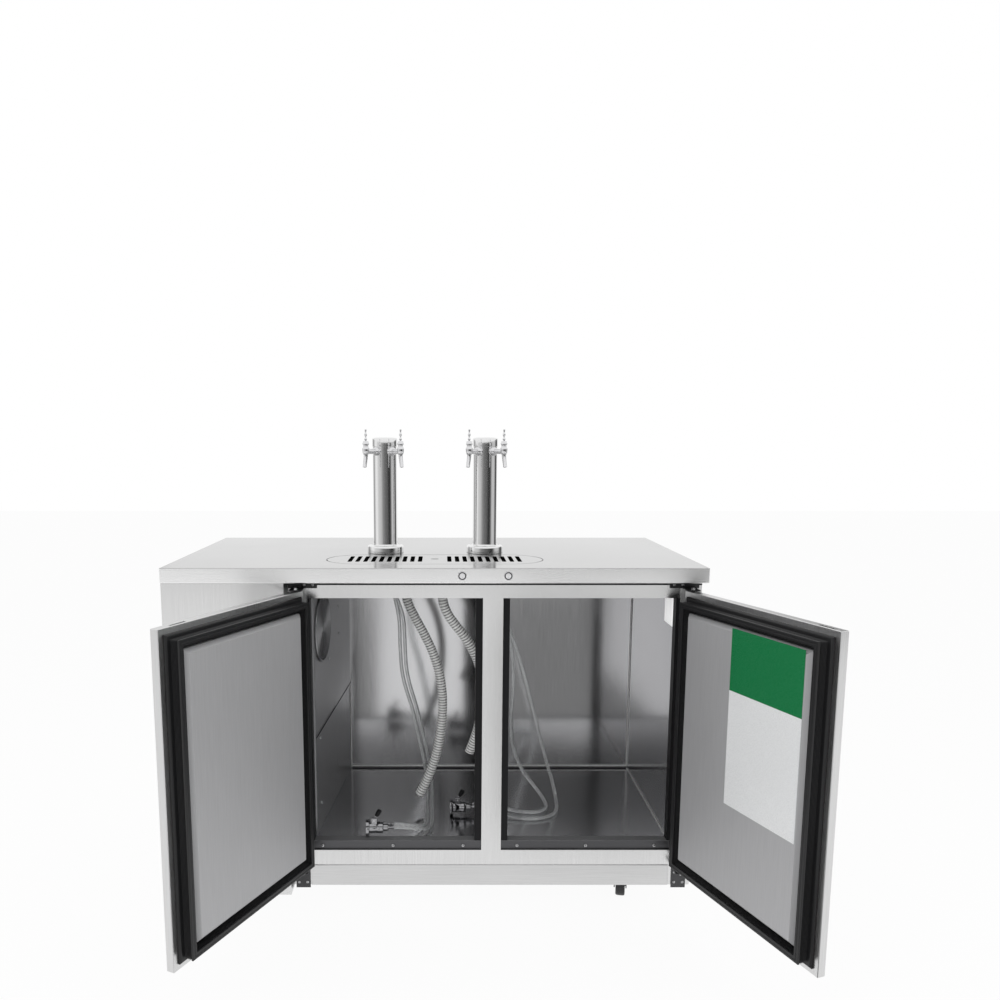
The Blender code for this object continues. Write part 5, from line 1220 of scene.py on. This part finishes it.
def make_threshold():
    for name, left, right in threshold_sides:
        # Both strips are darkened steel: painted shade in the foot of the door opening.
        low, high = at(left, threshold_front, 0.2006), at(right, 0.0699, 0.2245)
        strips = [slab("strip", low, high, 0.0003, painted_shade_steel, 2)]
        low, high = at(left, threshold_front, 0.2242), at(right, 0.1004, 0.2252)
        strips.append(slab("strip_top", low, high, 0.0003, painted_shade_threshold_top, 2))
        put(joined("threshold_strip_" + name, strips), "liner_steel")
    for index, x in enumerate(threshold_screws):
        screw(f"threshold_screw_{index}", frame_at(x, 0.0688, 0.2110, to_front), 0.0046)


def make_cover_trim():
    face = Matrix.Rotation(-math.atan2(cover_slope, 1), 3, "Z") @ to_right
    for index, (y, z) in enumerate(cover_screws):
        proud = 0.0008 if z > 0.6 else -0.0008
        x = cover_x + (y - cover_y) * cover_slope + proud
        screw(f"cover_screw_{index}", frame_at(x, y, z, face), 0.0042)


def make_liner_trim():
    """The cove along the back of the floor in painted shade, bright strips of painted highlight and
    a painted shadow line under the upper cover.
    """
    # The cove is darkened steel: painted shade where the floor meets the back wall.
    low, high = at(-0.293, 0.6395, 0.2243), at(0.6715, 0.6497, 0.2300)
    put(slab("cove", low, high, 0.0025, painted_shade_steel, 3), "liner_steel")
    # Bright strips on the liner's corners, cove and floor edge: painted highlights.
    for name, low, high in (
        ("corner_painted_highlight_left", (-0.2962, 0.6445, 0.2243), (-0.2932, 0.6496, 0.5300)),
        ("corner_painted_highlight_right", (0.6690, 0.6445, 0.2243), (0.6716, 0.6496, 0.9300)),
        ("cove_painted_highlight", (-0.293, 0.6420, 0.2300), (0.6690, 0.6497, 0.2335)),
        ("floor_edge_painted_highlight", (0.6690, 0.1010, 0.2243), (0.6712, 0.6440, 0.2262)),
    ):
        put(slab(name, at(*low), at(*high), 0.0008, painted_highlight_strip, 2), "liner_steel")
    # A thin near-black line along the upper cover's lower edge: a painted shadow.
    path = []
    for y in (0.112, 0.300, 0.480, 0.648):
        back = y - cover_y
        path.append(at(-0.3398 + back * cover_slope, y, cover_edge_low + back * cover_edge_slope))
    shadow_line = sweep("cover_edge_painted_shadow", path, [shadow_line_radius] * len(path), painted_shade_inside, 10)
    put(shadow_line, "liner_steel")


def make_fan_guard():
    turn = Matrix.Rotation(-guard_angle, 3, "Z") @ to_right
    centre = frame_at(-0.33125, 0.215, 0.820, turn)
    pieces = []
    wire_sides = 10

    def wire_ring(radius, wire, height, finish):
        section = circle(wire, wire_sides, (radius, height))
        pieces.append(spun("guard_ring", section, centre, finish, 72, True, 60))

    for index in range(guard_rings):
        radius = guard_first + guard_pitch * index
        wire_ring(radius, guard_wire_radius, guard_seat + 0.0006, guard_wire)
    wire_ring(rim_ring, rim_wire, guard_seat, guard_rim)
    hub = mm((0, 2.7), (11.5, 2.7), (12, 3.5), (11.5, 5.1), (0, 5.3))
    pieces.append(spun("guard_hub", hub, centre, guard_wire, 36))
    for index in range(guard_spokes):
        angle = math.pi / guard_spokes * (2 * index + 1)
        way = Vector((math.cos(angle), math.sin(angle), 0))
        low = Vector((0, 0, guard_seat - spoke_radius))
        path = [centre @ (way * radius + low) for radius in spoke_ends]
        pieces.append(sweep("guard_spoke", path, [spoke_radius] * 2, guard_wire, 10))
    put(joined("fan_guard_wires", pieces), "chrome", "fan_guard")


# Casters and couplers

wheel_corners = ("front_left", "front_right", "rear_left", "rear_right")
tyre_outline = mirrored(mm(
    (24, 10.5), (24, 12.5), (26.2, 13.8), (29, 13.4), (30.8, 12), (31.8, 8.5), (32, 4),
))
disc_outline = mirrored(mm(
    (4.4, 13.8), (8, 13.8), (8.6, 13), (9.2, 9.6), (11, 8.8), (22.5, 9.6), (24, 11.8),
))

coupler_places = ((1, -0.160, 0.104), (2, 0.085, 0.251))
coupler_z = 0.2503
port_y = 0.020
coupler_outline = mm(
    (0, 40), (4, 40), (4.8, 38.5), (4.2, 35.5), (5, 35), (4.2, 31.5), (5, 31), (4.2, 27.5),
    (4.8, 27), (4.8, 24), (10, 24), (11, 23), (11, 11), (12.5, 10), (16.5, 9.2), (17, 8),
    (17, -8), (16, -9.5), (16, -12), (17, -13.5), (17, -29), (19.5, -29.8), (25.2, -30.2),
    (26, -31.2), (26, -39), (25, -40), (19.5, -40), (19, -38.5), (12, -38.5), (11.6, -40.8),
    (0, -41),
)
port_outline = mm(
    (0, 40), (4, 40), (4.8, 38.5), (4.2, 34), (5, 33.5), (4.2, 29.5), (4.8, 29), (4.8, 18),
    (8.5, 18), (8.8, 17.2), (8.8, 6), (7, 4), (0, 0),
)
elbow_outline = mm((0, -6), (6.2, -6), (6.8, 2), (6.8, 18), (5, 24), (0, 25.6))
cheek_low, cheek_high = 0.0047, 0.0090
handle_pivot = (-0.016, 0, 0.0235)
handle_tilt = math.radians(30)
handle_hub = mirrored(mm((0, -4), (5.2, -4), (5.8, -3.4)))
handle_pin = mirrored(mm((0, -9.8), (2.2, -9.8), (2.5, -9.4)))
handle_arm = mm((-4.2, -3.2, 0), (4.2, 3.2, 18))
handle_grip = mm(
    (0, 12), (4.8, 12), (5.6, 13.5), (6.6, 20), (7, 27), (6.7, 31.5), (5, 33), (0, 33.3),
)


def axis_frame(joint):
    """A frame at a joint's place with Z along its axis."""
    found = joints[joint]
    turn = Vector(found["axis"]).to_track_quat("Z", "Y").to_matrix()
    return Matrix.Translation(Vector(found["pos_m"])) @ turn.to_4x4()


def make_casters():
    for corner in wheel_corners:
        place = axis_frame(f"wheel_{corner}_roll")
        tyre = spun("tyre", tyre_outline, place, wheel_rubber, 56, True)
        disc = spun("hub", disc_outline, place, wheel_disc, 56, True)
        wheel = joined("caster_wheel_turned_" + corner, [tyre, disc])
        put(wheel, "wheel_tyre", "caster_wheel_" + corner, body="wheel_" + corner)


def make_couplers():
    along = to_right.to_4x4()
    sideways = Matrix.Rotation(-math.pi / 2, 4, "X")
    upright = Matrix.Rotation(math.pi / 2, 4, "X")
    for number, x, y in coupler_places:
        place = frame_at(x, y, coupler_z)
        port = place @ (Matrix.Translation((0, port_y, 0)) @ along)
        pieces = [
            spun("coupler_body", coupler_outline, place @ along, coupler_steel_painted_shade, 40),
            spun("gas_port", port_outline, port, coupler_steel_painted_shade, 24),
            spun("gas_elbow", elbow_outline, place @ sideways, coupler_steel_painted_shade, 24),
        ]
        for near, far in ((-cheek_high, -cheek_low), (cheek_low, cheek_high)):
            low, high = (-0.024, near, 0.0120), (-0.008, far, 0.0300)
            pieces.append(slab("yoke_cheek", low, high, 0.0012, coupler_steel_painted_shade, 2, place))
        coupler = joined(f"keg_coupler_turned_{number}", pieces)
        put(coupler, "chrome", f"keg_coupler_{number}")
        pivot = place @ Matrix.Translation(handle_pivot) @ Matrix.Rotation(handle_tilt, 4, "Y")
        parts = [
            spun("handle_hub", handle_hub, pivot @ upright, coupler_steel_painted_shade, 28),
            spun("handle_pin", handle_pin, pivot @ upright, bolt_steel, 20),
            slab("handle_arm", *handle_arm, 0.0010, coupler_steel_painted_shade, 2, pivot),
            spun("handle_grip", handle_grip, pivot, black_trim, 28),
        ]
        handle = joined(f"coupler_handle_turned_{number}", parts)
        put(handle, "chrome", f"coupler_lever_{number}", body=f"coupler_handle_{number}")


# Finishes on the frame's own pieces

def finish_nodes():
    finishes = {
        "insulated_casing": steel_z,
        "inner_liner": liner_z,
        "face_frame": steel_panel,
        "breaker_frame": black_trim,
        "kick_panel": kick_steel,
        "machine_housing": steel_z,
        "machine_front_panel": steel_panel,
        "evaporator_cover": cover_steel,
        "evaporator_coil": coil_fins,
        "evaporator_fan": fan_grey,
        "compressor": black_paint,
        "condenser": coil_fins,
        "condenser_fan": black_trim,
        "lamp_housing": lamp_lens,
    }
    for side in ("left", "right"):
        finishes[f"door_pan_{side}"] = steel_z
        finishes[f"door_panel_{side}"] = door_liner
        finishes[f"hinge_top_{side}"] = black_paint
        finishes[f"hinge_bottom_{side}"] = bracket_paint
    for corner in wheel_corners:
        finishes[f"caster_fork_{corner}"] = black_paint
    for name, finish in finishes.items():
        mesh = nodes[name].data
        mesh.materials.clear()
        mesh.materials.append(finish)


for make in (
    make_camera, make_floor, make_wall, make_flags, make_world, make_lamps, make_hoses,
    make_beer_lines, make_worktop, make_tray, make_grate, make_towers, make_faucets, make_locks,
    make_doors, make_hinge_trim, make_threshold, make_cover_trim, make_liner_trim, make_fan_guard,
    make_casters, make_couplers, finish_nodes,
):
    make()
scene.view_settings.view_transform = "Standard"
